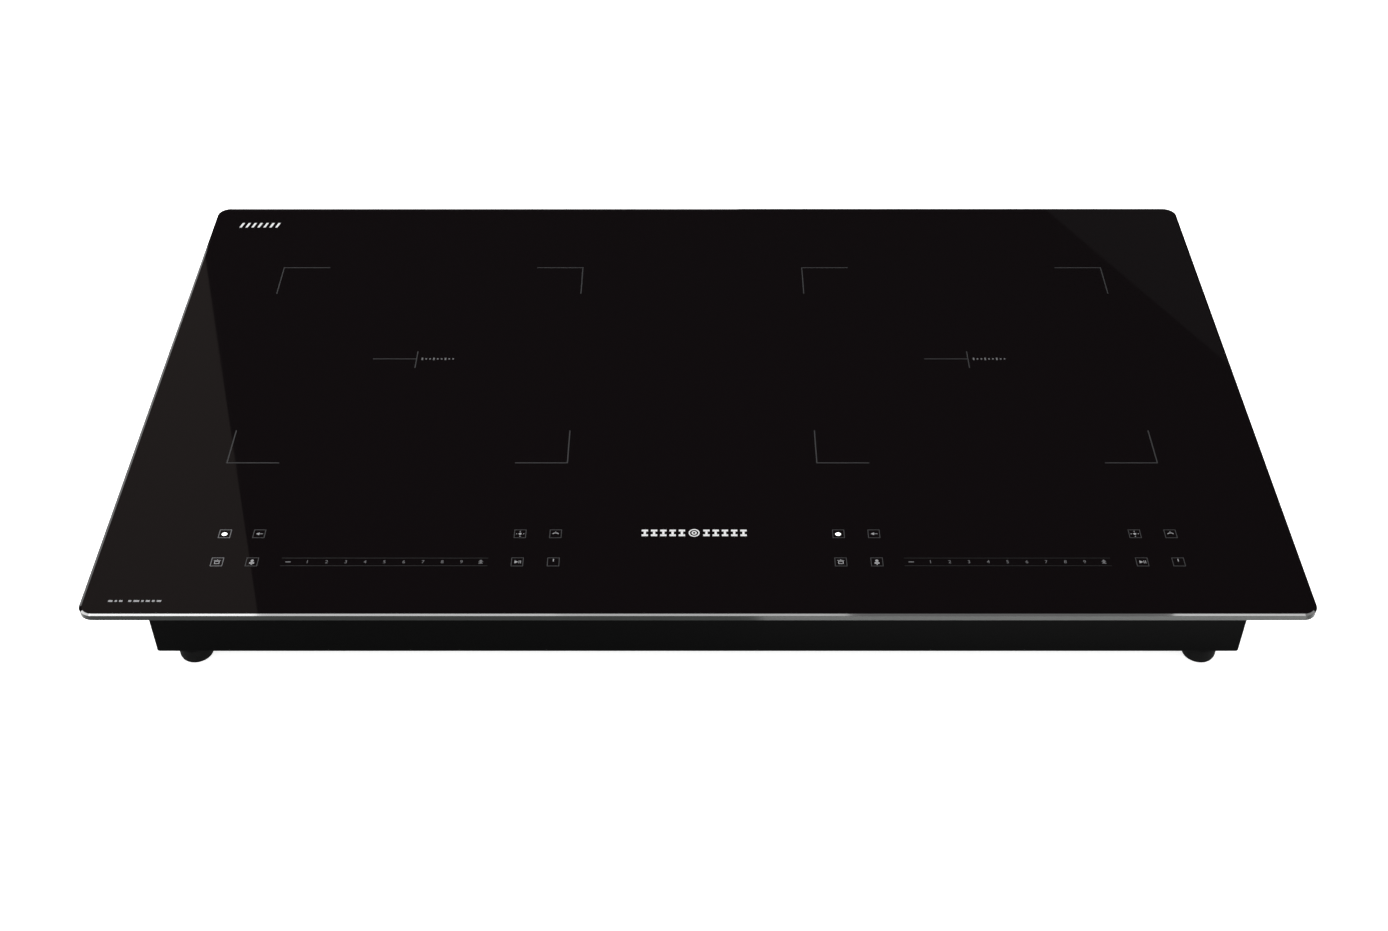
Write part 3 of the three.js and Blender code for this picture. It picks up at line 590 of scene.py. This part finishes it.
def ink_outline(bm, x0, y0, x1, y1, line):
    """A rectangular outline; returns its four faces before they are thickened."""
    face = flat_face(bm, x0, y0, x1, y1)
    around = bmesh.ops.inset_region(bm, faces=[face], thickness=line * MM, use_boundary=True,
                                    use_even_offset=True)["faces"]
    bmesh.ops.delete(bm, geom=[face], context="FACES")
    return around


def ink_disc(bm, x, y, rx, ry=None, sides=24, turn=0.0):
    """A filled polygon; many sides make it round, few make a triangle or a diamond."""
    place = Matrix.LocRotScale(Vector((x * MM, y * MM, INK_LOW)), Euler((0, 0, math.radians(turn))),
                               Vector((rx * MM, (ry or rx) * MM, 1)))
    verts = bmesh.ops.create_circle(bm, cap_ends=True, segments=sides, radius=1, matrix=place)["verts"]
    face = next(face for face in verts[0].link_faces if all(vert in verts for vert in face.verts))
    thicken(bm, [face])


def ink_ring(bm, x, y, radius, line, start=0.0, sweep=360.0):
    """A ring or an arc, spun from one small upright face."""
    first = math.radians(start)
    turn = Euler((math.pi / 2, 0, first))
    out = Vector((math.cos(first), math.sin(first), 0))
    place = Matrix.LocRotScale(
        Vector((x * MM, y * MM, (INK_LOW + INK_HIGH) / 2)) + out * radius * MM, turn,
        Vector((line / 2 * MM, (INK_HIGH - INK_LOW) / 2, 1)))
    verts = bmesh.ops.create_grid(bm, x_segments=1, y_segments=1, size=1, matrix=place)["verts"]
    face = verts[0].link_faces[0]
    closed = sweep >= 360
    bmesh.ops.spin(bm, geom=[face] if not closed else list(face.verts) + list(face.edges),
                   cent=(x * MM, y * MM, 0), axis=(0, 0, 1), angle=math.radians(sweep),
                   steps=max(6, round(sweep / 12)), use_merge=closed, use_duplicate=False)
    if closed:
        bmesh.ops.delete(bm, geom=[face], context="FACES_ONLY")


# %% [markdown]
# ### Zones
# Only the corners of each zone's square are drawn. The outline is made whole, then four cuts with
# bisect_plane part its sides, and the middles are deleted. A small off-centre cross marks the middle of
# the coil, with a scale of fine ticks to its right.

# %% Zone marks
ZONE_WIDTH, ZONE_DEPTH = 219.5, 217.0
LEG_X, LEG_Y = 34.0, 32.5
ZONE_LINE = 0.75


def corner_marks(bm, x, y):
    x0, x1 = x - ZONE_WIDTH / 2, x + ZONE_WIDTH / 2
    y0, y1 = y - ZONE_DEPTH / 2, y + ZONE_DEPTH / 2
    faces = set(ink_outline(bm, x0, y0, x1, y1, ZONE_LINE))
    cuts = [((x0 + LEG_X, 0), (1, 0)), ((x1 - LEG_X, 0), (1, 0)),
            ((0, y0 + LEG_Y), (0, 1)), ((0, y1 - LEG_Y), (0, 1))]
    for (px, py), (nx, ny) in cuts:
        geometry = [item for face in faces for item in (face, *face.edges, *face.verts)]
        result = bmesh.ops.bisect_plane(bm, geom=list(set(geometry)), plane_co=(px * MM, py * MM, 0),
                                        plane_no=(nx, ny, 0))
        faces = {item for item in result["geom"] if isinstance(item, bmesh.types.BMFace)}
    spare = [face for face in faces if
             abs(face.calc_center_median().x / MM - x) < ZONE_WIDTH / 2 - LEG_X
             or abs(face.calc_center_median().y / MM - y) < ZONE_DEPTH / 2 - LEG_Y]
    bmesh.ops.delete(bm, geom=spare, context="FACES")
    thicken(bm, [face for face in faces if face.is_valid])


for side, zone in ZONES.items():
    zone_x, zone_y = zone.x / MM, zone.y / MM
    marks = bmesh.new()
    corner_marks(marks, zone_x, zone_y)
    ink_bar(marks, zone_x - 30, zone_y - 0.35, zone_x - 0.35, zone_y + 0.35)
    ink_bar(marks, zone_x - 0.35, zone_y - 9.9, zone_x + 0.35, zone_y + 8.4)
    print_piece(f"zone_marks_{side}", marks, enamel_faint)
    ticks = bmesh.new()
    for tick in range(9):
        tall = 1.3 if tick % 3 == 0 else 0.7
        start = zone_x + 3.4 + 2.65 * tick
        ink_bar(ticks, start, zone_y - tall, start + 1.1, zone_y + tall)
    print_piece(f"zone_ticks_{side}", ticks, enamel_mid)

# %% [markdown]
# ### Keys
# Each zone has eight keys in two rows and a power slider from 1 to 9. A key is a square field with a
# plain sign in it, and the first one of the back row is lit.

# %% Key signs
KEY = 7.5
KEY_LINE = 0.5
ROW_BACK, ROW_FRONT = -145.6, -170.2


def key_frame(bm, x, y):
    thicken(bm, ink_outline(bm, x - KEY / 2, y - KEY / 2, x + KEY / 2, y + KEY / 2, KEY_LINE))


def sign_arrow(bm, x, y):
    ink_disc(bm, x - 0.6, y, 1.4, sides=3, turn=90)
    ink_bar(bm, x + 0.2, y - 0.2, x + 2.2, y + 0.2)


def sign_diamond(bm, x, y):
    ink_disc(bm, x, y, 1.1, sides=4)
    for dx, dy in ((0, 2.2), (0, -2.2), (2.2, 0), (-2.2, 0)):
        ink_disc(bm, x + dx, y + dy, 0.4, sides=4)


def sign_chevron(bm, x, y):
    ink_ring(bm, x, y - 1.4, 2.2, 0.6, start=35, sweep=110)
    ink_disc(bm, x, y + 1.9, 0.4, sides=3)


def sign_pot(bm, x, y):
    thicken(bm, ink_outline(bm, x - 1.6, y - 1.7, x + 1.6, y + 0.7, 0.45))
    ink_bar(bm, x - 2.1, y + 1.1, x + 2.1, y + 1.45)
    ink_disc(bm, x, y + 1.9, 0.3)


def sign_bell(bm, x, y):
    ink_disc(bm, x, y + 1.0, 1.0)
    ink_bar(bm, x - 1.5, y - 1.6, x + 1.5, y - 0.3)
    ink_disc(bm, x, y - 2.2, 0.4)


def sign_pause(bm, x, y):
    ink_disc(bm, x - 0.9, y, 1.5, sides=3, turn=-90)
    for start in (0.9, 1.9):
        ink_bar(bm, x + start, y - 1.2, x + start + 0.35, y + 1.2)


def sign_power(bm, x, y):
    ink_bar(bm, x - 0.3, y + 0.4, x + 0.3, y + 2.6)


# The columns of keys, from the middle line of the glass, and the signs of the back and the front row.
KEY_COLUMNS = {"left": (-290.7, -269.6, -109.2, -87.4), "right": (86.5, 108.3, 268.7, 290.7)}
KEY_SIGNS = ((None, sign_arrow, sign_diamond, sign_chevron), (sign_pot, sign_bell, sign_pause, sign_power))
BRIGHT_KEYS = ("left", 0)  # the side and the column whose frames are printed brighter

for side, columns in KEY_COLUMNS.items():
    frames = {enamel_mid: bmesh.new(), enamel_faint: bmesh.new()}
    signs = bmesh.new()
    lit = bmesh.new()
    for column, key_x in enumerate(columns):
        frame_ink = enamel_mid if (side, column) == BRIGHT_KEYS else enamel_faint
        for key_y, row_signs in zip((ROW_BACK, ROW_FRONT), KEY_SIGNS):
            key_frame(frames[frame_ink], key_x, key_y)
            if row_signs[column]:
                row_signs[column](signs, key_x, key_y)
    ink_disc(lit, columns[0] - 0.2, ROW_BACK - 0.3, 1.7, 1.4)
    print_piece(f"key_frames_{side}", frames[enamel_faint], enamel_faint)
    if frames[enamel_mid].faces:
        print_piece(f"key_frames_bright_{side}", frames[enamel_mid], enamel_mid)
    print_piece(f"key_signs_{side}", signs, enamel_grey)
    print_piece(f"key_light_{side}", lit, lit_key)


# %% Sliders
SLIDER_LENGTH = 125.0
SLIDER_GAP = 6.6
STEP = 11.65
DIGIT_SIZE = 3.64 * MM  # the typeface's own size, for figures 2.6 mm high


def add_digit(bm, text, x, y):
    """A number in Blender's own plain typeface, as thin solid print."""
    curve = bpy.data.curves.new("digit", "FONT")
    curve.body = text
    curve.size = DIGIT_SIZE
    curve.align_x = "CENTER"
    curve.align_y = "CENTER"
    curve.resolution_u = 3
    curve.extrude = (INK_HIGH - INK_LOW) / 2
    text_object = bpy.data.objects.new("digit", curve)
    flat = bpy.data.meshes.new_from_object(text_object)
    flat.transform(Matrix.Translation((x * MM, y * MM, (INK_LOW + INK_HIGH) / 2)))
    bm.from_mesh(flat)
    bmesh.ops.remove_doubles(bm, verts=bm.verts, dist=WELD)
    bpy.data.objects.remove(text_object)
    bpy.data.curves.remove(curve)
    bpy.data.meshes.remove(flat)


for side, start_x in (("left", -252.0), ("right", 124.8)):
    rails = bmesh.new()
    for offset in (-SLIDER_GAP / 2, SLIDER_GAP / 2):
        ink_bar(rails, start_x, ROW_FRONT + offset - 0.2, start_x + SLIDER_LENGTH, ROW_FRONT + offset + 0.2)
    print_piece(f"slider_rails_{side}", rails, enamel_dim)
    scale = bmesh.new()
    first = start_x + (SLIDER_LENGTH - 10 * STEP) / 2
    ink_bar(scale, first - 1.6, ROW_FRONT - 0.4, first + 1.6, ROW_FRONT + 0.4)
    for number in range(1, 10):
        add_digit(scale, str(number), first + number * STEP, ROW_FRONT)
    for row in (-1.2, 0.4):
        ink_disc(scale, first + 10 * STEP, ROW_FRONT + row + 0.4, 1.7, 1.2, sides=3)
    print_piece(f"slider_scale_{side}", scale, enamel_mid)

# %% [markdown]
# ### Plain signs in place of names
# Names on a hob's glass are replaced by three plain marks of the same size and tone: a coil sign between
# bars at the front, a row of slanting strokes in the back corner and a dashed line in the front corner.

# %% Plain marks
BADGE_X, BADGE_Y = -2.2, -144.8
BAR_START, BAR_PITCH, BAR_WIDTH = 5.6, 5.7, 3.9
badge = bmesh.new()
for radius in (1.2, 3.0):
    ink_ring(badge, BADGE_X, BADGE_Y, radius, 0.8)
for sign in SIGNS.values():
    for index in range(5):
        near = BAR_START + BAR_PITCH * index
        x0, x1 = sorted((BADGE_X + sign * near, BADGE_X + sign * (near + BAR_WIDTH)))
        ink_bar(badge, x0, BADGE_Y - 2.9, x1, BADGE_Y - 1.3)
        ink_bar(badge, x0, BADGE_Y + 1.3, x1, BADGE_Y + 2.9)
        ink_bar(badge, (x0 + x1) / 2 - 0.7, BADGE_Y - 1.4, (x0 + x1) / 2 + 0.7, BADGE_Y + 1.4)
print_piece("front_badge", badge, enamel_silver)

STROKES_X, STROKES_Y, STROKE_PITCH = -344.5, 192.0, 4.5
strokes = bmesh.new()
for index in range(7):
    start = STROKES_X + STROKE_PITCH * index
    ink_bar(strokes, start, STROKES_Y - 3.0, start + 1.7, STROKES_Y + 3.0)
line_up = Matrix.Translation((0, STROKES_Y * MM, 0))
slant = line_up @ Matrix.Shear("XZ", 4, (0.25, 0)) @ line_up.inverted()  # leans X along Y
bmesh.ops.transform(strokes, matrix=slant, verts=strokes.verts)
print_piece("corner_strokes", strokes, enamel_silver)

DASH_GROUPS = ((-348.5, (2.6, 1.4, 2.0)), (-336.6, (1.8, 3.4, 1.4, 2.4, 1.6, 2.6)))
DASH_GAP = 1.25
DASH_LOW, DASH_HIGH = -203.8, -202.4
dashes = bmesh.new()
for start, lengths in DASH_GROUPS:
    for length in lengths:
        ink_bar(dashes, start, DASH_LOW, start + length, DASH_HIGH)
        start += length + DASH_GAP
print_piece("corner_dashes", dashes, enamel_grey)

# %% [markdown]
# ## Seal, adhesive and frame
# A strip of closed-cell foam under the rim keeps spilled water out of the worktop. Inside it a bead of
# silicone bonds the galvanised frame to the glass. Both are rounded boxes with the middle taken out by
# an inset.


# %% Seal and adhesive
def rim_strip(name, low, high, corner, width, material, edge, replaces=()):
    """A rounded rectangular ring between two corners of its box."""
    bm = bmesh.new()
    box = add_block(bm, low, high)
    round_edges(bm, upright_edges(bm, box), corner, 8)
    ends = [face for face in bm.faces if abs(face.normal.z) > 0.9]
    bmesh.ops.inset_region(bm, faces=ends, thickness=width, use_even_offset=True)
    bmesh.ops.delete(bm, geom=[face for face in ends if face.is_valid], context="FACES")
    inner = [item for item in bm.edges if item.is_boundary]
    bmesh.ops.bridge_loops(bm, edges=inner)
    round_edges(bm, sharp_edges(bm, 60), edge, 3)
    return new_piece(name, bm, [material], replaces=replaces)


seal_low, seal_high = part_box("rim_seal")
rim_strip("foam_seal", seal_low, seal_high, 5 * MM, 9 * MM, seal_foam, 0.5 * MM, ["rim_seal"])
frame_low, frame_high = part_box("glass_frame")
bead_low = Vector((frame_low.x + 1 * MM, frame_low.y + 1 * MM, frame_high.z + 0.02 * MM))
bead_high = Vector((frame_high.x - 1 * MM, frame_high.y - 1 * MM, GLASS_LOW.z - 0.02 * MM))
rim_strip("silicone_bead", bead_low, bead_high, 3 * MM, 7 * MM, silicone_black, 0.05 * MM)

# %% [markdown]
# ## The case
# The case is one folded sheet with round bends and punched vents. It is a rounded box without a lid,
# which the solidify operator gives a wall of 1 mm, and one Boolean modifier cuts the vents.

# %% Case shell
SHEET = 1.0 * MM
case = bmesh.new()
shell = add_block(case, CASE_LOW, CASE_HIGH)
round_edges(case, upright_edges(case, shell), 1.5 * MM, 6)
lid = [face for face in case.faces if face.normal.z > 0.9]
bmesh.ops.delete(case, geom=lid, context="FACES")
floor_edges = [edge for edge in case.edges
               if all(vert.co.z < CASE_LOW.z + 1e-6 for vert in edge.verts)]
round_edges(case, floor_edges, 1.3 * MM, 4)
bmesh.ops.recalc_face_normals(case, faces=case.faces)
bmesh.ops.solidify(case, geom=list(case.faces), thickness=SHEET)

# %% Vent cutters
VENT = 3.6 * MM
GRILLE_RADIUS = 31.0 * MM
GRILLE_PITCH = 7.0 * MM
cutters = bmesh.new()


def punch(bm, centre, size, axis):
    """A round-ended slot tool: a box whose edges along its own axis are rounded right over."""
    half = Vector(size) / 2
    before = set(bm.edges)
    add_block(bm, Vector(centre) - half, Vector(centre) + half)
    index = "XYZ".index(axis)
    along = [edge for edge in bm.edges if edge not in before
             and abs((edge.verts[0].co - edge.verts[1].co).normalized()[index]) > 0.99]
    width = min(size[i] for i in range(3) if i != index)
    round_edges(bm, along, width * 0.49, 5)


for blower_at in BLOWERS:
    rows = int(GRILLE_RADIUS // GRILLE_PITCH)
    for row in range(-rows, rows + 1):
        offset = row * GRILLE_PITCH
        chord = 2 * math.sqrt(GRILLE_RADIUS ** 2 - offset ** 2)
        punch(cutters, (blower_at.x, blower_at.y + offset, CASE_LOW.z), (chord, VENT, 6 * MM), "Z")
for sign in SIGNS.values():
    for index in range(12):
        punch(cutters, (sign * 190 * MM + (index - 5.5) * 9 * MM, -118 * MM, CASE_LOW.z),
              (VENT, 34 * MM, 6 * MM), "Z")
    for index in range(10):
        punch(cutters, (sign * CASE_HIGH.x, (46 + 9 * index) * MM, 31 * MM), (6 * MM, 4 * MM, 22 * MM), "X")
for vent_x in (-200 * MM, 0.0):
    for index in range(9):
        punch(cutters, (vent_x + (index - 4) * 9 * MM, CASE_HIGH.y, 36 * MM), (4 * MM, 6 * MM, 20 * MM), "Y")
gland_at = middle("cable_gland")
add_cylinder(cutters, (gland_at.x, gland_at.y, CASE_LOW.z - 2 * MM), 8.3 * MM, 5 * MM, 32)
for end, side in CORNERS:
    foot_at = middle(f"foot_{end}_{side}")
    add_cylinder(cutters, (foot_at.x, foot_at.y, CASE_LOW.z - 2 * MM), 4 * MM, 5 * MM, 24)
    low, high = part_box(f"case_screw_{end}_{side}")
    screw_at = (low + high) / 2
    add_cylinder(cutters, (low.x, screw_at.y, screw_at.z), 2.2 * MM, high.x - low.x, 16, "X")
print(len(cutters.faces), "faces on the punches")


# %% Punch the case
def cut_with(bm, tools):
    """One Boolean difference, applied, so that the result is a plain mesh again."""
    pair = []
    for name, source in (("cut_body", bm), ("cut_tools", tools)):
        bmesh.ops.recalc_face_normals(source, faces=source.faces)
        mesh = bpy.data.meshes.new(name)
        source.to_mesh(mesh)
        source.free()
        made = bpy.data.objects.new(name, mesh)
        bpy.context.scene.collection.objects.link(made)
        pair.append(made)
    modifier = pair[0].modifiers.new("cut", "BOOLEAN")
    modifier.operation = "DIFFERENCE"
    modifier.solver = "EXACT"
    modifier.object = pair[1]
    bpy.context.view_layer.update()
    result = bmesh.new()
    evaluated = pair[0].evaluated_get(bpy.context.evaluated_depsgraph_get())
    result.from_mesh(evaluated.to_mesh())
    evaluated.to_mesh_clear()
    for made in pair:
        mesh = made.data
        bpy.data.objects.remove(made)
        bpy.data.meshes.remove(mesh)
    return result


case = cut_with(case, cutters)
new_piece("steel_case", case, [powder_coat], replaces=["bottom_case"], smooth=25)

# %% [markdown]
# ## Feet and screws
# A foot is moulded rubber, turned about its axis: a soft round at the bottom, a hollow and a shallow
# groove under it for grip, and a plug that locks in the case. The screws have a low domed head with a
# cross recess, cut one slot at a time.

# %% Feet
FOOT_PROFILE = [(0, 0.9), (1.8, 0.9), (2.2, 0.0), (4.2, 0.0), (4.6, 0.5), (5.2, 0.5), (5.6, 0.0), (7.7, 0.0),
                (9.0, 0.35), (10.0, 1.3), (10.4, 2.6), (10.4, 10.6), (10.1, 11.6), (9.4, 12.2), (8.6, 12.4),
                (3.6, 12.4), (3.6, 14.0), (4.8, 14.0), (4.6, 14.6), (3.0, 17.5), (0, 17.7)]
for end, side in CORNERS:
    foot = spun(FOOT_PROFILE, middle(f"foot_{end}_{side}"), 48)
    new_piece(f"rubber_foot_{end}_{side}", foot, [foot_rubber],
              replaces=[f"foot_{end}_{side}"], smooth=45)

# %% Case screws
SCREW_PROFILE = [(0, 0), (1.5, 0), (1.8, 0.4), (1.8, 8.3), (3.6, 8.3), (3.6, 9.0), (3.2, 9.9), (2.2, 10.35),
                 (0, 10.5)]
RECESS_DEPTH = 1.3 * MM
RECESS_SLOTS = ((0.45 * MM, 1.9 * MM), (1.9 * MM, 0.45 * MM))  # half sizes across and up
for end, side in CORNERS:
    node = f"case_screw_{end}_{side}"
    low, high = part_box(node)
    centre = (low + high) / 2
    tip, outside = (high.x, low.x) if side == "left" else (low.x, high.x)
    turn = Matrix.Rotation(math.radians(90 * SIGNS[side]), 4, "Y")
    screw = spun(SCREW_PROFILE, (0, 0, 0), 24)
    bmesh.ops.transform(screw, matrix=Matrix.Translation((tip, centre.y, centre.z)) @ turn,
                        verts=screw.verts)
    for wide, tall in RECESS_SLOTS:
        slot_tool = bmesh.new()
        reach = Vector((RECESS_DEPTH, wide, tall))
        head = Vector((outside, centre.y, centre.z))
        add_block(slot_tool, head - reach, head + reach)
        screw = cut_with(screw, slot_tool)
    new_piece(f"zinc_screw_{end}_{side}", screw, [zinc_plate], replaces=[node])

# %% [markdown]
# ## The parts inside
# Most parts inside only lack the small radius that every moulded, pressed or sawn edge has. So each is
# copied, its triangles are merged into whole faces, and a narrow bevel runs along every sharp edge: wide
# on a moulding, narrow on cut sheet.

# %% Rounded copies of the CAD nodes
RECORD = frame["record"]
BODY_OF = {node: body for body, members in RECORD["behaviour"]["bodies"].items() for node in members}
SINGLE_PARTS = (("glass_frame", 0.15, galvanised), ("coil_shelf", 0.15, aluminium_sheet),
                ("filter_board", 0.1, solder_mask), ("terminal_block", 0.4, white_nylon),
                ("cable_gland", 0.3, black_nylon))
PAIRED_PARTS = (
    ("coil_plate", 0.2, aluminium_sheet), ("ferrite_star", 0.3, ferrite_grey),
    ("coil_carrier", 0.35, white_nylon), ("mica_disc", 0.1, mica_sheet),
    ("temp_sensor", 0.2, sensor_silicone), ("blower_housing", 0.3, black_nylon),
    ("blower_wheel", 0.12, black_nylon), ("blower_motor", 0.3, galvanised),
    ("board_tray", 0.3, black_nylon), ("power_board", 0.1, solder_mask),
    ("heat_sink", 0.2, aluminium_extruded), ("igbt", 0.2, epoxy_black), ("capacitor", 0.8, film_yellow),
    ("touch_bracket", 0.2, white_nylon), ("touch_board", 0.1, solder_mask))
soft_edges = list(SINGLE_PARTS) + [(f"{part}_{side}", width, material) for side in SIDES
                                   for part, width, material in PAIRED_PARTS]
for node, width, material in soft_edges:
    copy = merged_copy(node)
    round_edges(copy, sharp_edges(copy, 30), width * MM)
    new_piece(f"{node}_rounded", copy, [material], BODY_OF[node], [node])

# %% [markdown]
# ## Windings, springs and leads
# A coil is a flat spiral of litz wire about 4 mm thick: a curve with a round bevel, whose UV map follows
# the wire and carries the twist. A spring is a circle spun about its axis with a rise at each step.


# %% Tubes along a route
def tube(name, points, radius, material, body="housing", replaces=()):
    """A round rope along a smooth route through points, given in metres."""
    curve = bpy.data.curves.new(name, "CURVE")
    curve.dimensions = "3D"
    curve.bevel_depth = radius
    curve.bevel_resolution = 2
    curve.use_fill_caps = True
    curve.resolution_u = 6
    spline = curve.splines.new("NURBS")
    spline.points.add(len(points) - 1)
    for point, place in zip(spline.points, points):
        point.co = (*place, 1)
    spline.order_u = 4
    spline.use_endpoint_u = True
    shape = bpy.data.objects.new(name, curve)
    mesh = bpy.data.meshes.new_from_object(shape)
    bpy.data.objects.remove(shape)
    bpy.data.curves.remove(curve)
    rope = bmesh.new()
    rope.from_mesh(mesh)
    bpy.data.meshes.remove(mesh)
    bmesh.ops.remove_doubles(rope, verts=rope.verts, dist=WELD)
    return new_piece(name, rope, [material], body, replaces, smooth=180, flat_faces=False)


# %% Coil windings
WIRE_RADIUS = 2.0 * MM
WIRE_PITCH = 4.25 * MM
POINTS_A_TURN = 30
for side in SIDES:
    low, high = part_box(f"coil_winding_{side}")
    outer = (high.x - low.x) / 2 - WIRE_RADIUS - 0.1 * MM
    inner = 25.2 * MM
    turns = (outer - inner) / WIRE_PITCH
    spiral = []
    for index in range(int(turns * POINTS_A_TURN)):
        angle = 2 * math.pi * index / POINTS_A_TURN
        radius = inner + WIRE_PITCH * index / POINTS_A_TURN
        spiral.append(((low.x + high.x) / 2 + radius * math.cos(angle),
                       (low.y + high.y) / 2 + radius * math.sin(angle), (low.z + high.z) / 2))
    tube(f"litz_winding_{side}", spiral, WIRE_RADIUS, litz, f"coil_{side}",
         [f"coil_winding_{side}"])

# %% Springs
SPRING_WIRE = 0.6 * MM
SPRING_STEPS = 20


def helix(centre, radius, bottom, top, turns, wire):
    """A wire circle spun about the spring's axis, rising a little with each step."""
    bm = bmesh.new()
    stand = Matrix.Translation((centre.x + radius, centre.y, bottom)) @ Matrix.Rotation(math.pi / 2, 4, "X")
    start = bmesh.ops.create_circle(bm, segments=10, radius=wire, matrix=stand)["verts"]
    steps = round(turns * SPRING_STEPS)
    bmesh.ops.spin(bm, geom=start + list(bm.edges), cent=(centre.x, centre.y, 0), axis=(0, 0, 1),
                   dvec=(0, 0, (top - bottom) / steps), angle=2 * math.pi * turns, steps=steps,
                   use_merge=False, use_duplicate=False)
    bmesh.ops.holes_fill(bm, edges=[edge for edge in bm.edges if edge.is_boundary])
    return bm


for side in SIDES:
    for number in (1, 2, 3):
        node = f"coil_spring_{side}_{number}"
        low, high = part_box(node)
        centre = middle(node)
        coil = helix(centre, 4.6 * MM, low.z + SPRING_WIRE, high.z - SPRING_WIRE, 4, SPRING_WIRE)
        spring = new_piece(f"steel_spring_{side}_{number}", coil, [spring_wire],
                           replaces=[node], smooth=60, flat_faces=False)
        length = high.z - low.z
        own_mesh(spring)

# %% Leads and ribbons
for side, sign in SIGNS.items():
    zone = ZONES[side]
    low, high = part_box(f"coil_lead_{side}")
    drop_y = zone.y - 19 * MM
    route = [(zone.x, drop_y, high.z), (zone.x, drop_y, 50 * MM), (zone.x, drop_y, 38 * MM),
             (zone.x + sign * 2 * MM, drop_y, 28 * MM), (zone.x + sign * 12 * MM, drop_y - 3 * MM, 22.6 * MM),
             (zone.x + sign * 24 * MM, drop_y - 4 * MM, 22.6 * MM)]
    lead = tube(f"sleeved_coil_lead_{side}", route, 2.1 * MM, wire_white,
                replaces=[f"coil_lead_{side}"])
    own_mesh(lead)
    ribbon = merged_copy(f"ribbon_cable_{side}")
    new_piece(f"flat_ribbon_{side}", ribbon, [wire_grey], replaces=[f"ribbon_cable_{side}"])

SUPPLY_ROUTE = [(221, 158, 28), (190, 158, 28), (90, 150, 26), (24, 135, 25), (0, 110, 25), (0, 60, 25),
                (0, 0, 25), (0, -34, 24)]
tube("sheathed_supply_lead", [tuple(value * MM for value in point) for point in SUPPLY_ROUTE], 3.4 * MM,
     wire_grey, replaces=["supply_lead"])

# %% Filter choke
TOROID_TURNS = 22
TOROID_RADIUS = 13.5 * MM
WIRE_LOOP = 4.4 * MM
choke = bmesh.new()
for index in range(TOROID_TURNS):
    out = (Matrix.Translation(middle("filter_choke"))
           @ Matrix.Rotation(2 * math.pi * index / TOROID_TURNS, 4, "Z"))
    upright = Matrix.Rotation(math.pi / 2, 4, "X")
    place = (out @ Matrix.Translation((TOROID_RADIUS, 0, 0)) @ upright
             @ Matrix.Translation((WIRE_LOOP, 0, 0)) @ upright)
    wire = bmesh.ops.create_circle(choke, segments=6, radius=0.9 * MM, matrix=place)["verts"]
    edges = list({edge for vert in wire for edge in vert.link_edges})
    bmesh.ops.spin(choke, geom=wire + edges, cent=out @ Vector((TOROID_RADIUS, 0, 0)),
                   axis=out.to_3x3() @ Vector((0, 1, 0)), angle=2 * math.pi, steps=12,
                   use_merge=True, use_duplicate=False)
bmesh.ops.remove_doubles(choke, verts=choke.verts, dist=WELD)
new_piece("toroid_choke", choke, [magnet_wire], replaces=["filter_choke"], smooth=60)
